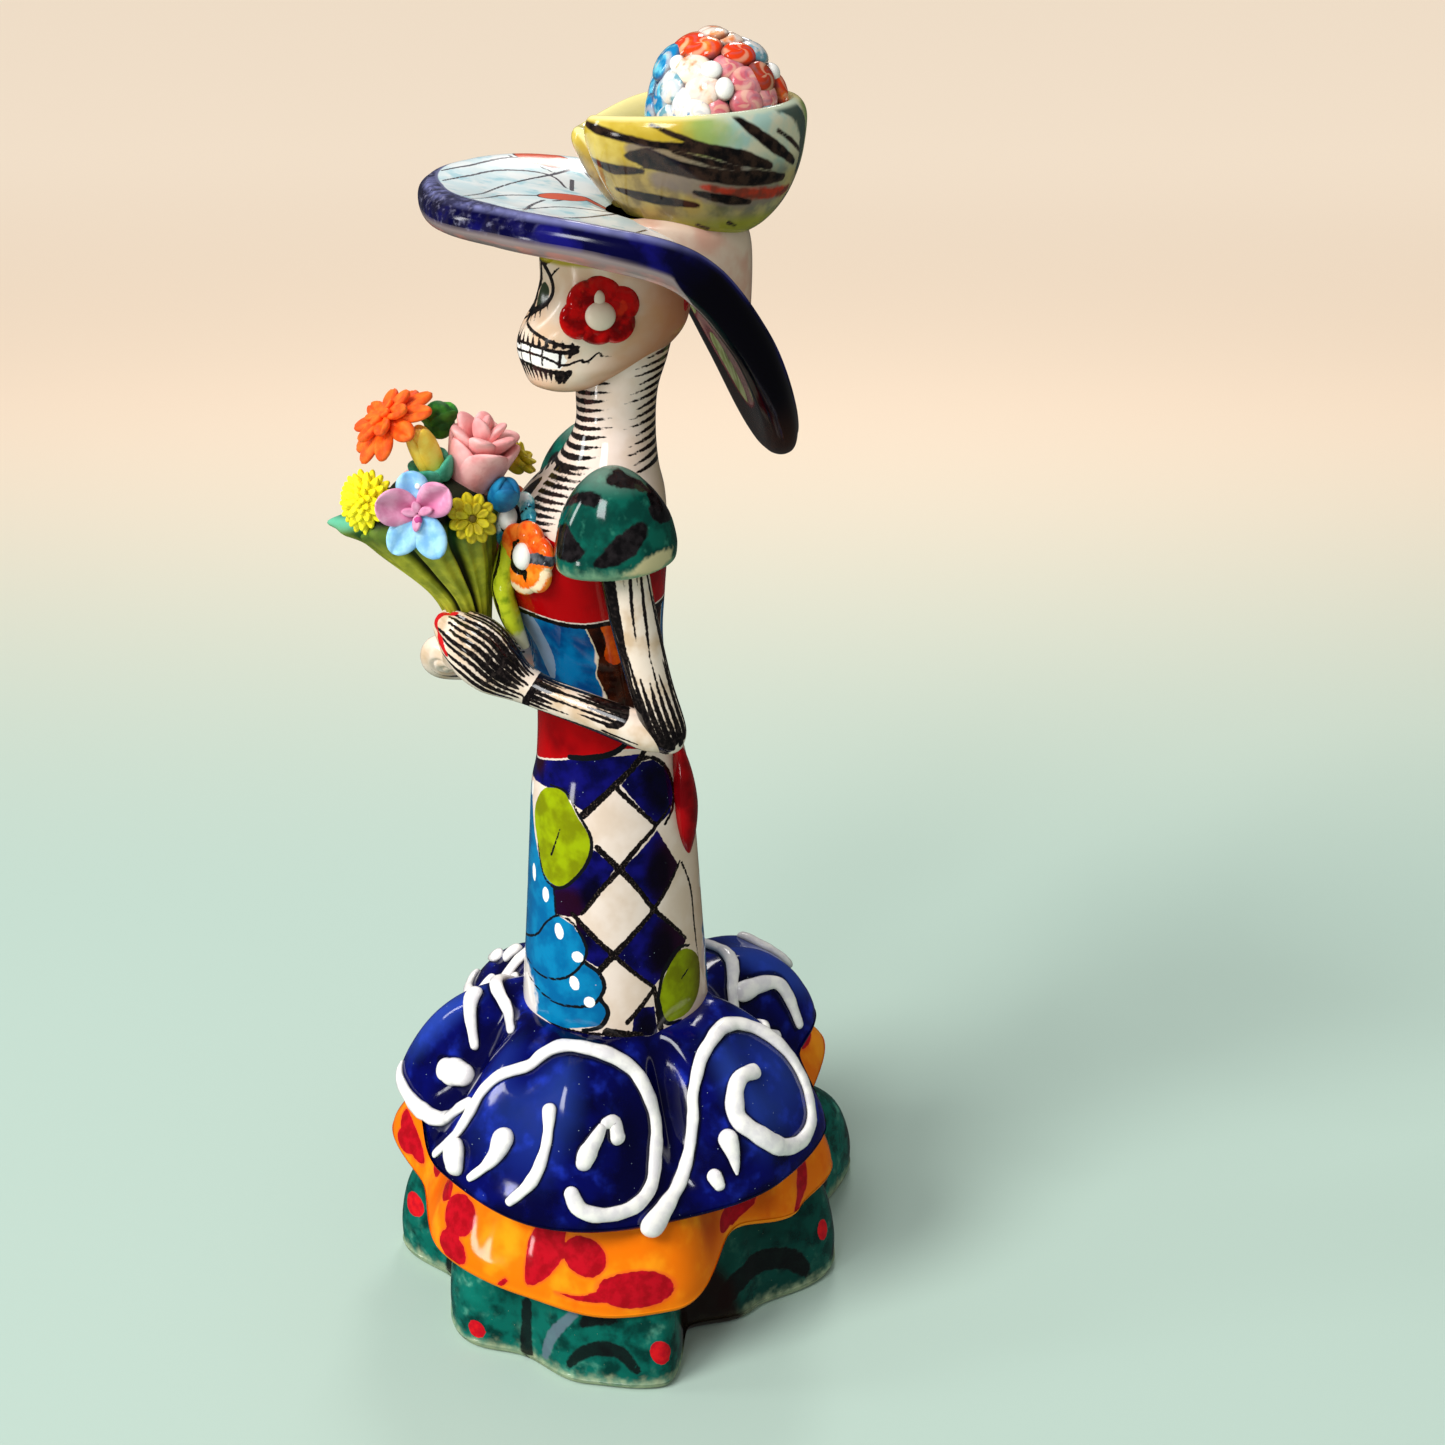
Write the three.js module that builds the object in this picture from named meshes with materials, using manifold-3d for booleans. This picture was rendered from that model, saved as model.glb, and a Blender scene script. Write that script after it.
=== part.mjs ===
// A glazed ceramic skeleton lady in a wide hat and a flounced dress, with a bouquet of clay flowers.
// Millimetres. She stands on z = 0, faces -Y, and her left side is +X.

import * as THREE from 'three';
import { mergeVertices } from 'three/addons/utils/BufferGeometryUtils.js';
import Module from 'manifold-3d';

const wasm = await Module();
wasm.setup();

// Driving dimensions

const GAP = 0.3;
const FACET = 0.32;
const CLAY_FACET = 0.08;
const SKIRT_RADIUS = 22.5;
const SKIRT_FOOT = 79;
const WAIST = 144;
const NECK_BACK = 10.8;
const CHIN = 234;
const HEAD_HALF_WIDTH = 13.2;
const HAT_HALF_WIDTH = 42;
const HAT_FRONT_REACH = 51;
const HAT_BACK_REACH = 60;
const HAT_LEVEL = 271;
const HAT_TILT = 0.035;
const BRIM_THICKNESS = 6.2;
const CROWN_RADIUS = 17;
const CROWN_CENTRE = 15.5;
const CROWN_TOP = 267;
const BOWL_LENGTH = 49;
const BOWL_WIDTH = 45;
const BOWL_CENTRE = 19.5;
const BOWL_FOOT = 261;
const BOWL_RIM = 288.5;
const BOWL_WALL = 4;
const DOME_CENTRE = [0, 25.5, 286];
const SLEEVE_RADIUS = 12.6;
const ARM_RADIUS = 4.7;
const WRIST_RADIUS = 4;
const ELBOW = 158.5;
const HANDS = 175;
const SHEATH_FOOT = 171;
const SHEATH_TOP = 204;

// Each hem is a ring of folds: angle in degrees around the figure, reach from the axis, height, and how far
// the slope above swells out, or sinks in where it is negative.

const GREEN_HEM = [
  [-150, 54, 0, 1], [-128, 47, 0, -1], [-108, 57, 0, 1], [-86, 44, 0, -1], [-60, 50.5, 0, 1],
  [-41, 46, 0, -1], [-20, 50.5, 0, 1], [0, 52.5, 0, 1], [18, 35.5, 0, -2], [42, 41, 0, -1],
  [73, 54.5, 0, 1], [92, 54, 0, -1], [113, 73, 0, 1], [135, 56, 0, -1], [160, 64, 0, 1], [184, 50, 0, -1],
];
const ORANGE_HEM = [
  [-145, 48, 31, -1], [-112, 59, 33, 1], [-88, 49.5, 28, -1], [-66, 52.5, 24, 1], [-38, 50, 22, 0],
  [-12, 52, 21, 1], [4, 51.5, 21, 1], [35, 39.5, 27, -2], [58, 48, 25, 0], [80, 54, 25, 1], [97, 52, 31, -1],
  [118, 68, 38, 1], [142, 54, 36, -1], [175, 61, 32, 1],
];
const BLUE_HEM = [
  [-150, 54, 58, 2], [-126, 46, 60, -3], [-104, 54.5, 52, 3], [-86, 49.5, 51, -3], [-64, 52.5, 48.5, 2],
  [-30, 53, 45.5, 2.5], [8, 46.5, 42.5, -5], [38, 51.5, 45, 3.5], [62, 53, 46, 2], [82, 45.5, 56, -5],
  [104, 55, 58, 3], [122, 58, 61, 3], [142, 47, 63, -4], [172, 56, 59, 3], [192, 47, 62, -3],
];

// Sections of the body and of the skull: height, half width, front and back.

const BODY_SECTIONS = [
  [60, 22.5, -22.5, 22.5], [SKIRT_FOOT, SKIRT_RADIUS, -SKIRT_RADIUS, SKIRT_RADIUS], [100, 21, -21, 21.2],
  [122, 19.5, -19.5, 19.8], [136, 17.5, -18.5, 18.6], [WAIST, 16, -17, 17.2], [158, 14.8, -16.5, 14],
  [172, 15.2, -18, 12.5], [183, 17.5, -22.5, 13], [192, 19, -25, 13.6], [200, 19.5, -22, 13.6],
  [207, 17.5, -17, 13.2], [213, 12.8, -10.8, 12], [221, 8, -5, NECK_BACK], [229, 7.4, -3.7, NECK_BACK],
  [238, 7.5, -3, 13],
];
const SKULL_SECTIONS = [
  [230, 6, -9.5, 8], [CHIN - 2, 8.6, -14.6, 11.4], [CHIN + 1, 9.9, -16.6, 14], [239, 10.8, -17.7, 16.4],
  [243, 12, -17, 18.4], [248, 12.9, -14.6, 19.6], [253, HEAD_HALF_WIDTH, -12.8, 19.6],
  [259, 13, -12.3, 18.8], [267, 11, -10, 17],
];

// The middle line of the brim: length from the crown backwards, and the place in front view and height.

const BRIM_LINE = [
  [-HAT_FRONT_REACH, -36.8, HAT_LEVEL - 1.2], [-38, -24.5, HAT_LEVEL - 1.2], [-19, -6, HAT_LEVEL - 3.2],
  [0, 11.5, HAT_LEVEL - 8.5], [20, 24, HAT_LEVEL - 23], [40, 32.5, HAT_LEVEL - 40.5],
  [HAT_BACK_REACH, 38, HAT_LEVEL - 56],
];

const GLAZE = { roughness: 0.12, metalness: 0 };
const CLAY = { roughness: 0.65, metalness: 0 };
const LOOKS = {
  glazed_blue: { color: 0x1d2a8c, ...GLAZE },
  leaf_green: { color: 0x6d8f22, ...CLAY },
  orange: { color: 0xfa5a14, ...CLAY },
  pink: { color: 0xe18c96, ...CLAY },
  lilac: { color: 0xdc96c3, ...CLAY },
  yellow: { color: 0xf0e10a, ...CLAY },
  blue: { color: 0x1482af, ...CLAY },
  green: { color: 0x2f7a2a, ...CLAY },
};

// Each flower of the bouquet: its look, middle, the way it faces, radius, depth, petals, how deeply they
// are parted and how far they cup.

const FLOWERS = {
  orange_daisy: ['orange', [4, -45, 224], [0.7, -0.6, 0.45], 8.8, 3.6, 9, 0.22, 0.1],
  pink_rose: ['pink', [4, -28, 216.5], [0.6, -0.1, 0.85], 8.6, 8, 5, 0.12, 0.35],
  yellow_zinnia: ['yellow', [8.5, -52.5, 208.5], [0.6, -0.75, 0.2], 6.4, 3.6, 10, 0.16, 0.05],
  pansy: ['lilac', [15.5, -42.5, 207.5], [0.95, -0.3, 0.15], 10, 3.4, 5, 0.3, 0.1],
  yellow_daisy: ['yellow', [15, -30.7, 206.5], [1, 0.05, 0.15], 5.8, 3.4, 8, 0.2, 0.1],
  blue_bud: ['blue', [9, -24.2, 209.5], [0.85, 0.15, 0.4], 4.2, 4, 4, 0.1, 0],
  tulip: ['yellow', [7, -38.5, 218.5], [0.6, -0.2, 0.75], 5, 5.6, 4, 0.08, 0.2],
  green_bud: ['green', [-3, -36, 223.5], [0, -0.1, 1], 4.4, 5, 4, 0.05, 0],
  small_yellow: ['yellow', [-4, -19.4, 213.4], [0.1, 0.7, 0.6], 4.6, 3.4, 6, 0.15, 0.1],
  far_orange: ['orange', [-11.5, -31, 207], [-0.9, 0.1, 0.4], 6.4, 3.6, 8, 0.2, 0.1],
  far_pink: ['pink', [-9.5, -43.5, 211.5], [-0.75, -0.3, 0.6], 6.6, 4, 6, 0.2, 0.2],
  far_yellow: ['yellow', [-4, -52, 206], [-0.45, -0.85, 0.3], 5.6, 3.4, 8, 0.18, 0.1],
};

// Tools for forms

const radians = THREE.MathUtils.degToRad;
const mix = THREE.MathUtils.lerp;
const FULL_TURN = 2 * Math.PI;

// A closed solid from a three.js geometry: shared vertices merged, flat slivers dropped, faces out.
function solid(geometry) {
  geometry.deleteAttribute('normal');
  geometry.deleteAttribute('uv');
  const merged = mergeVertices(geometry, 1e-5);
  const position = merged.attributes.position;
  const corner = [new THREE.Vector3(), new THREE.Vector3(), new THREE.Vector3()];
  const triangles = [];
  let volume = 0;
  for (let i = 0; i < merged.index.count; i += 3) {
    const face = [0, 1, 2].map((k) => merged.index.getX(i + k));
    if (face[0] === face[1] || face[1] === face[2] || face[2] === face[0]) continue;
    face.forEach((vertex, k) => corner[k].fromBufferAttribute(position, vertex));
    volume += corner[0].dot(corner[1].clone().cross(corner[2])) / 6;
    triangles.push(face);
  }
  const outward = volume > 0 ? triangles : triangles.map(([a, b, c]) => [a, c, b]);
  return new wasm.Manifold(new wasm.Mesh({
    numProp: 3,
    vertProperties: new Float32Array(position.array),
    triVerts: new Uint32Array(outward.flat()),
  }));
}

// A closed form through a stack of rings. A ring gives the point of its outline at a turn from 0 to 1, and
// the two ends close on the middle of their rings.
function form(rings, sides) {
  const middle = (ring) => {
    const sum = new THREE.Vector3();
    for (let i = 0; i < sides; i += 1) sum.add(ring(i / sides));
    return sum.divideScalar(sides);
  };
  const first = middle(rings[0]);
  const last = middle(rings[rings.length - 1]);
  const profile = [new THREE.Vector2(0, -1)];
  rings.forEach((ring, row) => profile.push(new THREE.Vector2(1, row)));
  profile.push(new THREE.Vector2(0, rings.length));
  const geometry = new THREE.LatheGeometry(profile, sides);
  const position = geometry.attributes.position;
  for (let i = 0; i < position.count; i += 1) {
    const row = (i % profile.length) - 1;
    const turn = (Math.floor(i / profile.length) % sides) / sides;
    const end = row < 0 ? first : last;
    const point = rings[row] ? rings[row](turn) : end;
    position.setXYZ(i, point.x, point.y, point.z);
  }
  return solid(geometry);
}

// The value at an angle of a closed row of [angle, value, ...] entries, eased so that each entry is a crest
// or a hollow.
function around(entries, degrees, column) {
  const modulo = THREE.MathUtils.euclideanModulo;
  const index = entries.findIndex((entry, i) => {
    const next = entries[(i + 1) % entries.length];
    return modulo(degrees - entry[0], 360) <= modulo(next[0] - entry[0], 360);
  });
  const from = entries[index];
  const to = entries[(index + 1) % entries.length];
  const share = modulo(degrees - from[0], 360) / modulo(to[0] - from[0], 360);
  return mix(from[column], to[column], 0.5 - 0.5 * Math.cos(Math.PI * share));
}

// The point at a share of the way from row i of a table to the next, on a smooth curve through the rows.
function smooth(rows, i, t) {
  const row = (k) => rows[THREE.MathUtils.clamp(k, 0, rows.length - 1)];
  const [a, b, c, d] = [row(i - 1), row(i), row(i + 1), row(i + 2)];
  return b.map((value, n) => 0.5 * (2 * value + (c[n] - a[n]) * t
    + (2 * a[n] - 5 * value + 4 * c[n] - d[n]) * t ** 2 + (3 * value - a[n] - 3 * c[n] + d[n]) * t ** 3));
}

// All the rows of a table with steps between them.
function refined(rows, steps) {
  const result = [];
  for (let i = 0; i < rows.length - 1; i += 1) {
    for (let k = 0; k < steps; k += 1) result.push(smooth(rows, i, k / steps));
  }
  return [...result, rows[rows.length - 1]];
}

function ovalRing([height, halfWidth, front, back]) {
  return (turn) => new THREE.Vector3(
    halfWidth * Math.cos(FULL_TURN * turn),
    (front + back) / 2 + ((back - front) / 2) * Math.sin(FULL_TURN * turn),
    height,
  );
}

// An egg or a lens with its middle and its half sizes along X, Y and Z.
function egg(middle, halfSizes, rows, sides) {
  const geometry = new THREE.SphereGeometry(1, sides, rows);
  geometry.rotateX(Math.PI / 2);
  geometry.scale(...halfSizes);
  geometry.translate(...middle);
  return solid(geometry);
}

// A limb along a smooth path. Each point is [x, y, z, half height, half thickness across X].
function limb(points, steps, sides) {
  const path = new THREE.CatmullRomCurve3(points.map(([x, y, z]) => new THREE.Vector3(x, y, z)));
  const sizes = refined(points.map((point) => point.slice(3)), steps);
  const rings = sizes.map(([tall, thick], i) => {
    const at = path.getPoint(i / (sizes.length - 1));
    const along = path.getTangent(i / (sizes.length - 1));
    const across = new THREE.Vector3(1, 0, 0).addScaledVector(along, -along.x).normalize();
    const up = new THREE.Vector3().crossVectors(along, across);
    return (turn) => at.clone()
      .addScaledVector(across, thick * Math.cos(FULL_TURN * turn))
      .addScaledVector(up, tall * Math.sin(FULL_TURN * turn));
  });
  return form(rings, sides);
}

// A lobed disc that faces along a direction. Each row is its share of the radius and its place along it.
function lobedDisc({ middle, facing, radius, lobes, notch, rows, steps, grow = 0 }) {
  const normal = new THREE.Vector3(...facing).normalize();
  const turned = new THREE.Quaternion().setFromUnitVectors(new THREE.Vector3(0, 0, 1), normal);
  const ring = ([share, depth]) => (turn) => {
    const lobe = 1 - notch * share * (0.5 - 0.5 * Math.cos(FULL_TURN * lobes * turn));
    const reach = radius * share * lobe + grow;
    return new THREE.Vector3(reach * Math.cos(FULL_TURN * turn), reach * Math.sin(FULL_TURN * turn), depth)
      .applyQuaternion(turned)
      .add(new THREE.Vector3(...middle));
  };
  return form(rows.map(ring), lobes * steps);
}

const mirrored = (shape) => shape.mirror([1, 0, 0]);
const joined = (shapes) => shapes.reduce((whole, shape) => whole.add(shape));

// The flounces

// One flounce leaves the ring above it, swells over its folds and ends in a hem. slope gives the part of the
// way out and the part of the way down for each step, and edge gives the hem's own steps, out and up.
function flounce(hem, top, slope, edge, sides) {
  const place = (degrees, reach, height) => new THREE.Vector3(
    reach * Math.cos(radians(degrees)),
    reach * Math.sin(radians(degrees)),
    height,
  );
  const slopeRing = ([out, down]) => (turn) => {
    const degrees = 360 * turn;
    const swell = around(hem, degrees, 3) * Math.sin(Math.PI * Math.max(0, down) ** 0.75);
    const reach = mix(top.radius, around(hem, degrees, 1), out) + 0.5 * swell;
    return place(degrees, reach, mix(top.height, around(hem, degrees, 2), down) + swell);
  };
  const edgeRing = ([out, up]) => (turn) => {
    const degrees = 360 * turn;
    return place(degrees, around(hem, degrees, 1) + out, around(hem, degrees, 2) + up);
  };
  return form([...edge.map(edgeRing), ...slope.map(slopeRing)], sides);
}

const THIN_HEM = [[-14, 3], [-1.4, 0], [0, 1.3]];
const FOOT_HEM = [[-14, 0], [-1.4, 0], [0.8, 2.4]];

function blueFlounce() {
  const slope = [[0.97, 0.88], [0.86, 0.7], [0.66, 0.45], [0.42, 0.22], [0.18, 0.06], [0, 0], [-0.2, 0]];
  return flounce(BLUE_HEM, { radius: SKIRT_RADIUS - 1, height: SKIRT_FOOT + 1 }, slope, THIN_HEM, 60);
}

function orangeFlounce() {
  const slope = [[0.95, 0.82], [0.7, 0.5], [0.35, 0.2], [0, 0]];
  return flounce(ORANGE_HEM, { radius: 32, height: 56 }, slope, THIN_HEM, 52);
}

function greenFlounce() {
  const slope = [[0.99, 0.72], [0.84, 0.36], [0.5, 0.1], [0, 0]];
  return flounce(GREEN_HEM, { radius: 33, height: 34 }, slope, FOOT_HEM, 60);
}

// The body, the skull and what lies on them

function body() {
  const shoulders = BODY_SECTIONS.findIndex(([height]) => height > WAIST);
  const skirt = BODY_SECTIONS.slice(0, shoulders);
  return form([...skirt, ...refined(BODY_SECTIONS.slice(shoulders), 2)].map(ovalRing), 24);
}

function skull() {
  return form(refined(SKULL_SECTIONS, 2).map(ovalRing), 20);
}

function reliefFlower(middle, facing, radius, depth) {
  const rows = [[0.8, -depth], [1, 0], [0.85, 0.65 * depth], [0.38, 0.7 * depth], [0.28, 1.2 * depth]];
  return lobedDisc({ middle, facing, radius, lobes: 6, notch: 0.2, rows, steps: 2 });
}

// Two flowers and a hanging leaf lie on the bosom.
function chestReliefs() {
  const orange = reliefFlower([10.5, -20.5, 196.5], [0.5, -0.85, 0.1], 8.5, 2.6);
  const blue = reliefFlower([3, -19, 206], [0.1, -0.8, 0.55], 7.5, 2.6);
  const leaf = limb([
    [5, -22, 199, 2, 3], [7, -25.2, 190, 2.2, 3.8], [8, -22.5, 181, 2, 3.2], [8.5, -19.5, 175, 0.8, 0.8],
  ], 1, 8);
  return joined([orange, mirrored(orange), blue, leaf]);
}

// The sash ends in a bow at the back of the waist, with two tails.
function sash() {
  const tail = egg([9.5, 16.2, 131], [6, 3.6, 18], 6, 8);
  const loop = egg([7, 15, 149.5], [6.5, 3.2, 4.4], 5, 8);
  const knot = egg([0, 16.6, 148], [4, 3.2, 4], 5, 8);
  return joined([tail, mirrored(tail), loop, mirrored(loop), knot]);
}

function earFlower() {
  return reliefFlower([HEAD_HALF_WIDTH - 1.8, -2, 248.7], [1, -0.08, 0], 8.4, 2.4);
}

// Sleeves, arms and hands

// The puff sleeve is a mushroom cap that hangs over the shoulder and the arm. The far one sits farther back
// and lower.
function sleeve(back, drop) {
  const rows = [
    [197.5, 0.5], [196.5, 0.88], [198.5, 1], [202.5, 0.98], [208, 0.82], [213.5, 0.58], [218, 0.28],
  ];
  return form(rows.map(([height, share]) => (turn) => new THREE.Vector3(
    21.5 + 0.12 * (218 - height) + 0.82 * SLEEVE_RADIUS * share * Math.cos(FULL_TURN * turn),
    back - 1.4 + SLEEVE_RADIUS * share * Math.sin(FULL_TURN * turn),
    height - drop,
  )), 16);
}

function upperArm(side) {
  return limb([
    [side * 25, -1, 204, ARM_RADIUS, ARM_RADIUS], [side * 26.5, 1, 188, ARM_RADIUS, ARM_RADIUS],
    [side * 28, 4.5, 171, ARM_RADIUS, ARM_RADIUS], [side * 29, 7.5, ELBOW + 1, ARM_RADIUS, ARM_RADIUS],
    [side * 29, 8.5, ELBOW - 3, 2, 2],
  ], 1, 10);
}

function nearForearmAndHand() {
  return limb([
    [29, 9.5, ELBOW - 0.5, 2.5, 2.5], [28, 4, ELBOW + 1, 4.1, 4.1], [22, -8, ELBOW + 4.5, 4, 4],
    [14.5, -20, HANDS - 8, 4.2, WRIST_RADIUS], [12.5, -26.5, HANDS - 3.5, 6.6, 4.4],
    [10.5, -30.5, HANDS + 0.5, 7.4, 4.8], [7, -33.5, HANDS + 2.5, 6.2, 4.8], [1.5, -35.5, HANDS + 3.5, 4, 4],
  ], 2, 10);
}

function farForearmAndHand() {
  return limb([
    [-29, 9.5, ELBOW - 1, 2.5, 2.5], [-28, 4, ELBOW, 4.1, 4.1], [-22, -8, ELBOW + 3, 4, 4],
    [-13.5, -20, HANDS - 11, 4.2, WRIST_RADIUS], [-10, -28, HANDS - 9, 6, 4.4],
    [-6, -34, HANDS - 6.5, 6.6, 4.8], [-1, -36.5, HANDS - 4.5, 5.8, 4.4], [5, -35, HANDS - 3, 3, 3],
  ], 2, 10);
}

// The hat

// The point of the brim's middle line at a length from the crown: the brim is level in front and hangs
// steeply behind.
function bend(length) {
  const inside = THREE.MathUtils.clamp(length, -HAT_FRONT_REACH, HAT_BACK_REACH - 0.001);
  const index = BRIM_LINE.findIndex((row, i) => inside < BRIM_LINE[i + 1][0]);
  const share = (inside - BRIM_LINE[index][0]) / (BRIM_LINE[index + 1][0] - BRIM_LINE[index][0]);
  const [, y, z] = smooth(BRIM_LINE, index, share);
  return new THREE.Vector3(0, y, z);
}

function onBrim(share, turn, lift) {
  const sine = Math.sin(FULL_TURN * turn);
  const length = share * sine * (sine > 0 ? HAT_BACK_REACH : HAT_FRONT_REACH);
  const slope = bend(length + 1).sub(bend(length - 1));
  const normal = new THREE.Vector3(0, -slope.z, slope.y).normalize();
  const point = bend(length).addScaledVector(normal, lift);
  point.x = share * HAT_HALF_WIDTH * Math.cos(FULL_TURN * turn);
  point.z -= HAT_TILT * point.x;
  return point;
}

function brim() {
  const half = BRIM_THICKNESS / 2;
  const rows = [[0.3, -1.8], [0.62, -1.7], [0.88, -half], [0.975, -0.7 * half], [1, 0], [0.975, 0.75 * half],
    [0.9, half], [0.66, 1.5], [0.3, 1.4]];
  return form(rows.map(([share, lift]) => (turn) => onBrim(share, turn, lift)), 40);
}

// The crown rises out of the brim, so its foot follows the brim's bend.
function crown() {
  const rows = [[0, 0.95], [0.3, 1], [0.75, 1], [1, 0.85]];
  return form(rows.map(([rise, share]) => (turn) => {
    const x = CROWN_RADIUS * share * Math.cos(FULL_TURN * turn);
    const y = CROWN_CENTRE + CROWN_RADIUS * share * Math.sin(FULL_TURN * turn);
    const back = Math.max(0, y - BRIM_LINE[3][1]);
    const foot = bend(y - BRIM_LINE[3][1] + 0.5 * back).z;
    return new THREE.Vector3(x, y, mix(foot, CROWN_TOP, rise));
  }), 20);
}

// Two leaves cup the flowers on the crown: one bowl with a wall, parted by a notch at the front, where the
// leaves end in tips. The far tip lies lower.
function leafBowl() {
  const ring = (share, rise, wall) => (turn) => {
    const angle = FULL_TURN * (turn - 0.25);
    const offset = turn > 0.5 ? turn - 1 : turn;
    const notch = Math.exp(-((offset / 0.035) ** 2)) * rise;
    const tip = Math.exp(-(((Math.abs(offset) - 0.1) / 0.06) ** 2)) * rise;
    const drop = 5 * Math.exp(-(((offset + 0.09) / 0.08) ** 2)) * rise;
    const y = BOWL_CENTRE + (BOWL_LENGTH / 2 * share - wall) * Math.sin(angle);
    return new THREE.Vector3(
      (BOWL_WIDTH / 2 * share - wall) * Math.cos(angle),
      y + 8 * notch - 2.5 * tip,
      mix(BOWL_FOOT, BOWL_RIM, rise * (1 - 0.5 * notch)) + 0.04 * (y - BOWL_CENTRE) - drop,
    );
  };
  const outside = [[0.4, 0], [0.64, 0.1], [0.83, 0.28], [0.95, 0.52], [1, 0.78], [0.98, 0.96]];
  const inside = [[0.98, 0.97], [0.9, 0.55], [0.7, 0.4]];
  return form([...outside.map(([share, rise]) => ring(share, rise, 0)),
    ...inside.map(([share, rise]) => ring(share, rise, BOWL_WALL))], 36);
}

// The flowers in the bowl are a dome of round petals.
function hatFlowers() {
  const dome = egg(DOME_CENTRE, [14.5, 13, 15.5], 6, 12);
  const layers = [[8, 10.8, 4, 4.4], [5, 6, 10.2, 4.8], [1, 0, 12, 4.4]];
  const petals = layers.flatMap(([count, reach, height, size]) => Array.from({ length: count }, (_, i) => {
    const angle = (FULL_TURN * (i + 0.3)) / count;
    const [x, y, z] = DOME_CENTRE;
    const middle = [x + 1.1 * reach * Math.cos(angle), y + reach * Math.sin(angle), z + height];
    return egg(middle, [size, size, 0.85 * size], 4, 6);
  }));
  return joined([dome, ...petals]);
}

// The bouquet

// The leaves and stems: a fluted cone that leans forward out of the hands, with a leaf tip in front.
function bouquetLeaves(grow = 0) {
  const rows = [
    [SHEATH_FOOT - grow, 1, -30, 3.6, 3.6, 0], [HANDS + 4, 1, -31, 4.8, 4.8, 0],
    [HANDS + 11, 1.5, -32.6, 6.6, 6.6, 0], [HANDS + 20, 2, -36.4, 10.5, 11, 0],
    [SHEATH_TOP, 2, -40, 14.5, 15.2, 5], [SHEATH_TOP + 4, 2, -39.5, 12.5, 13.5, 0],
    [SHEATH_TOP + 7 + grow, 2, -38.5, 7.5, 8.5, 0],
  ];
  return form(rows.map(([height, x, y, wide, long, tip], row) => (turn) => {
    const cosine = Math.cos(FULL_TURN * turn);
    const sine = Math.sin(FULL_TURN * turn);
    const flute = 1 + 0.055 * Math.cos(8 * FULL_TURN * turn) * Math.min(1, row / 3);
    return new THREE.Vector3(
      x + (wide * flute + grow) * cosine,
      y + (long * flute + grow) * sine - tip * Math.max(0, -sine) ** 6,
      height,
    );
  }), 24);
}

function clayFlower([, middle, facing, radius, depth, petals, notch, cup], grow = 0) {
  const rows = [[0.3, -1], [0.75, -0.5], [1, 0.05], [0.9, 0.35], [0.35, 0.3]];
  return lobedDisc({
    middle,
    facing,
    radius,
    lobes: petals,
    notch,
    rows: rows.map(([share, place]) => [share, depth * (place + cup * share) + Math.sign(place) * grow]),
    steps: petals > 6 ? 2 : 3,
    grow,
  });
}

// The figure as one fired piece

function figure() {
  const dress = [greenFlounce(), orangeFlounce(), blueFlounce(), body(), sash(), chestReliefs()];
  const arms = [
    sleeve(0, 0), mirrored(sleeve(3, 2)), upperArm(1), upperArm(-1), nearForearmAndHand(),
    farForearmAndHand(),
  ];
  const head = [skull(), earFlower(), mirrored(earFlower()), brim(), crown(), leafBowl(), hatFlowers()];
  const fired = joined([...dress, ...arms, ...head]).asOriginal().simplify(FACET);
  return fired.subtract(bouquetLeaves(GAP));
}

// The scene

const group = new THREE.Group();

function largestPiece(shape) {
  return shape.decompose().reduce((best, piece) => (piece.volume() > best.volume() ? piece : best));
}

function addMesh(name, shape, look) {
  const { vertProperties, triVerts } = largestPiece(shape).getMesh();
  const geometry = new THREE.BufferGeometry();
  geometry.setAttribute('position', new THREE.BufferAttribute(new Float32Array(vertProperties), 3));
  geometry.setIndex(new THREE.BufferAttribute(new Uint32Array(triVerts), 1));
  const mesh = new THREE.Mesh(geometry, new THREE.MeshStandardMaterial(look));
  mesh.name = name;
  group.add(mesh);
}

addMesh('skeleton_lady', figure(), LOOKS.glazed_blue);
addMesh('bouquet_leaves', bouquetLeaves(), LOOKS.leaf_green);

const placed = [bouquetLeaves(GAP)];
for (const [name, flower] of Object.entries(FLOWERS)) {
  const shape = placed.reduce((left, other) => left.subtract(other), clayFlower(flower));
  addMesh(name, shape.asOriginal().simplify(CLAY_FACET), LOOKS[flower[0]]);
  placed.push(clayFlower(flower, GAP));
}

export default group;
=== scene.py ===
"""Looks of the glazed skeleton lady. Lengths are in millimetres until a mesh is written, which is in metres.

She stands on z = 0, faces -Y, and her left side is +X. Each glazed part is a fine sheet laid over the same
named sizes as the solids, and its painting is a set of signed distances, kept as attributes of the mesh.
"""
import math

import bmesh
import bpy
import numpy as np
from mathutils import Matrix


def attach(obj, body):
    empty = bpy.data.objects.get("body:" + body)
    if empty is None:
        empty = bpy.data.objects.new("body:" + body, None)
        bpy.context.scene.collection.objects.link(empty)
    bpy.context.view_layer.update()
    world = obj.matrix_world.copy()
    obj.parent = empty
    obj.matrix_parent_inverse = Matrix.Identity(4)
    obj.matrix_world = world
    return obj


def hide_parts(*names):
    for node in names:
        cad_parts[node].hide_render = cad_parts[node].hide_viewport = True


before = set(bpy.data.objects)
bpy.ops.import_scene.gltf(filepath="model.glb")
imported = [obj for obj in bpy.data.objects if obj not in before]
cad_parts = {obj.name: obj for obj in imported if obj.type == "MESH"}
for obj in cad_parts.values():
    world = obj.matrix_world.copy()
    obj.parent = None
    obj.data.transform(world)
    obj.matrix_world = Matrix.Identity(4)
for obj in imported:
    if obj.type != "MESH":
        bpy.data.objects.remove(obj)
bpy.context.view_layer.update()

# Camera

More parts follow.
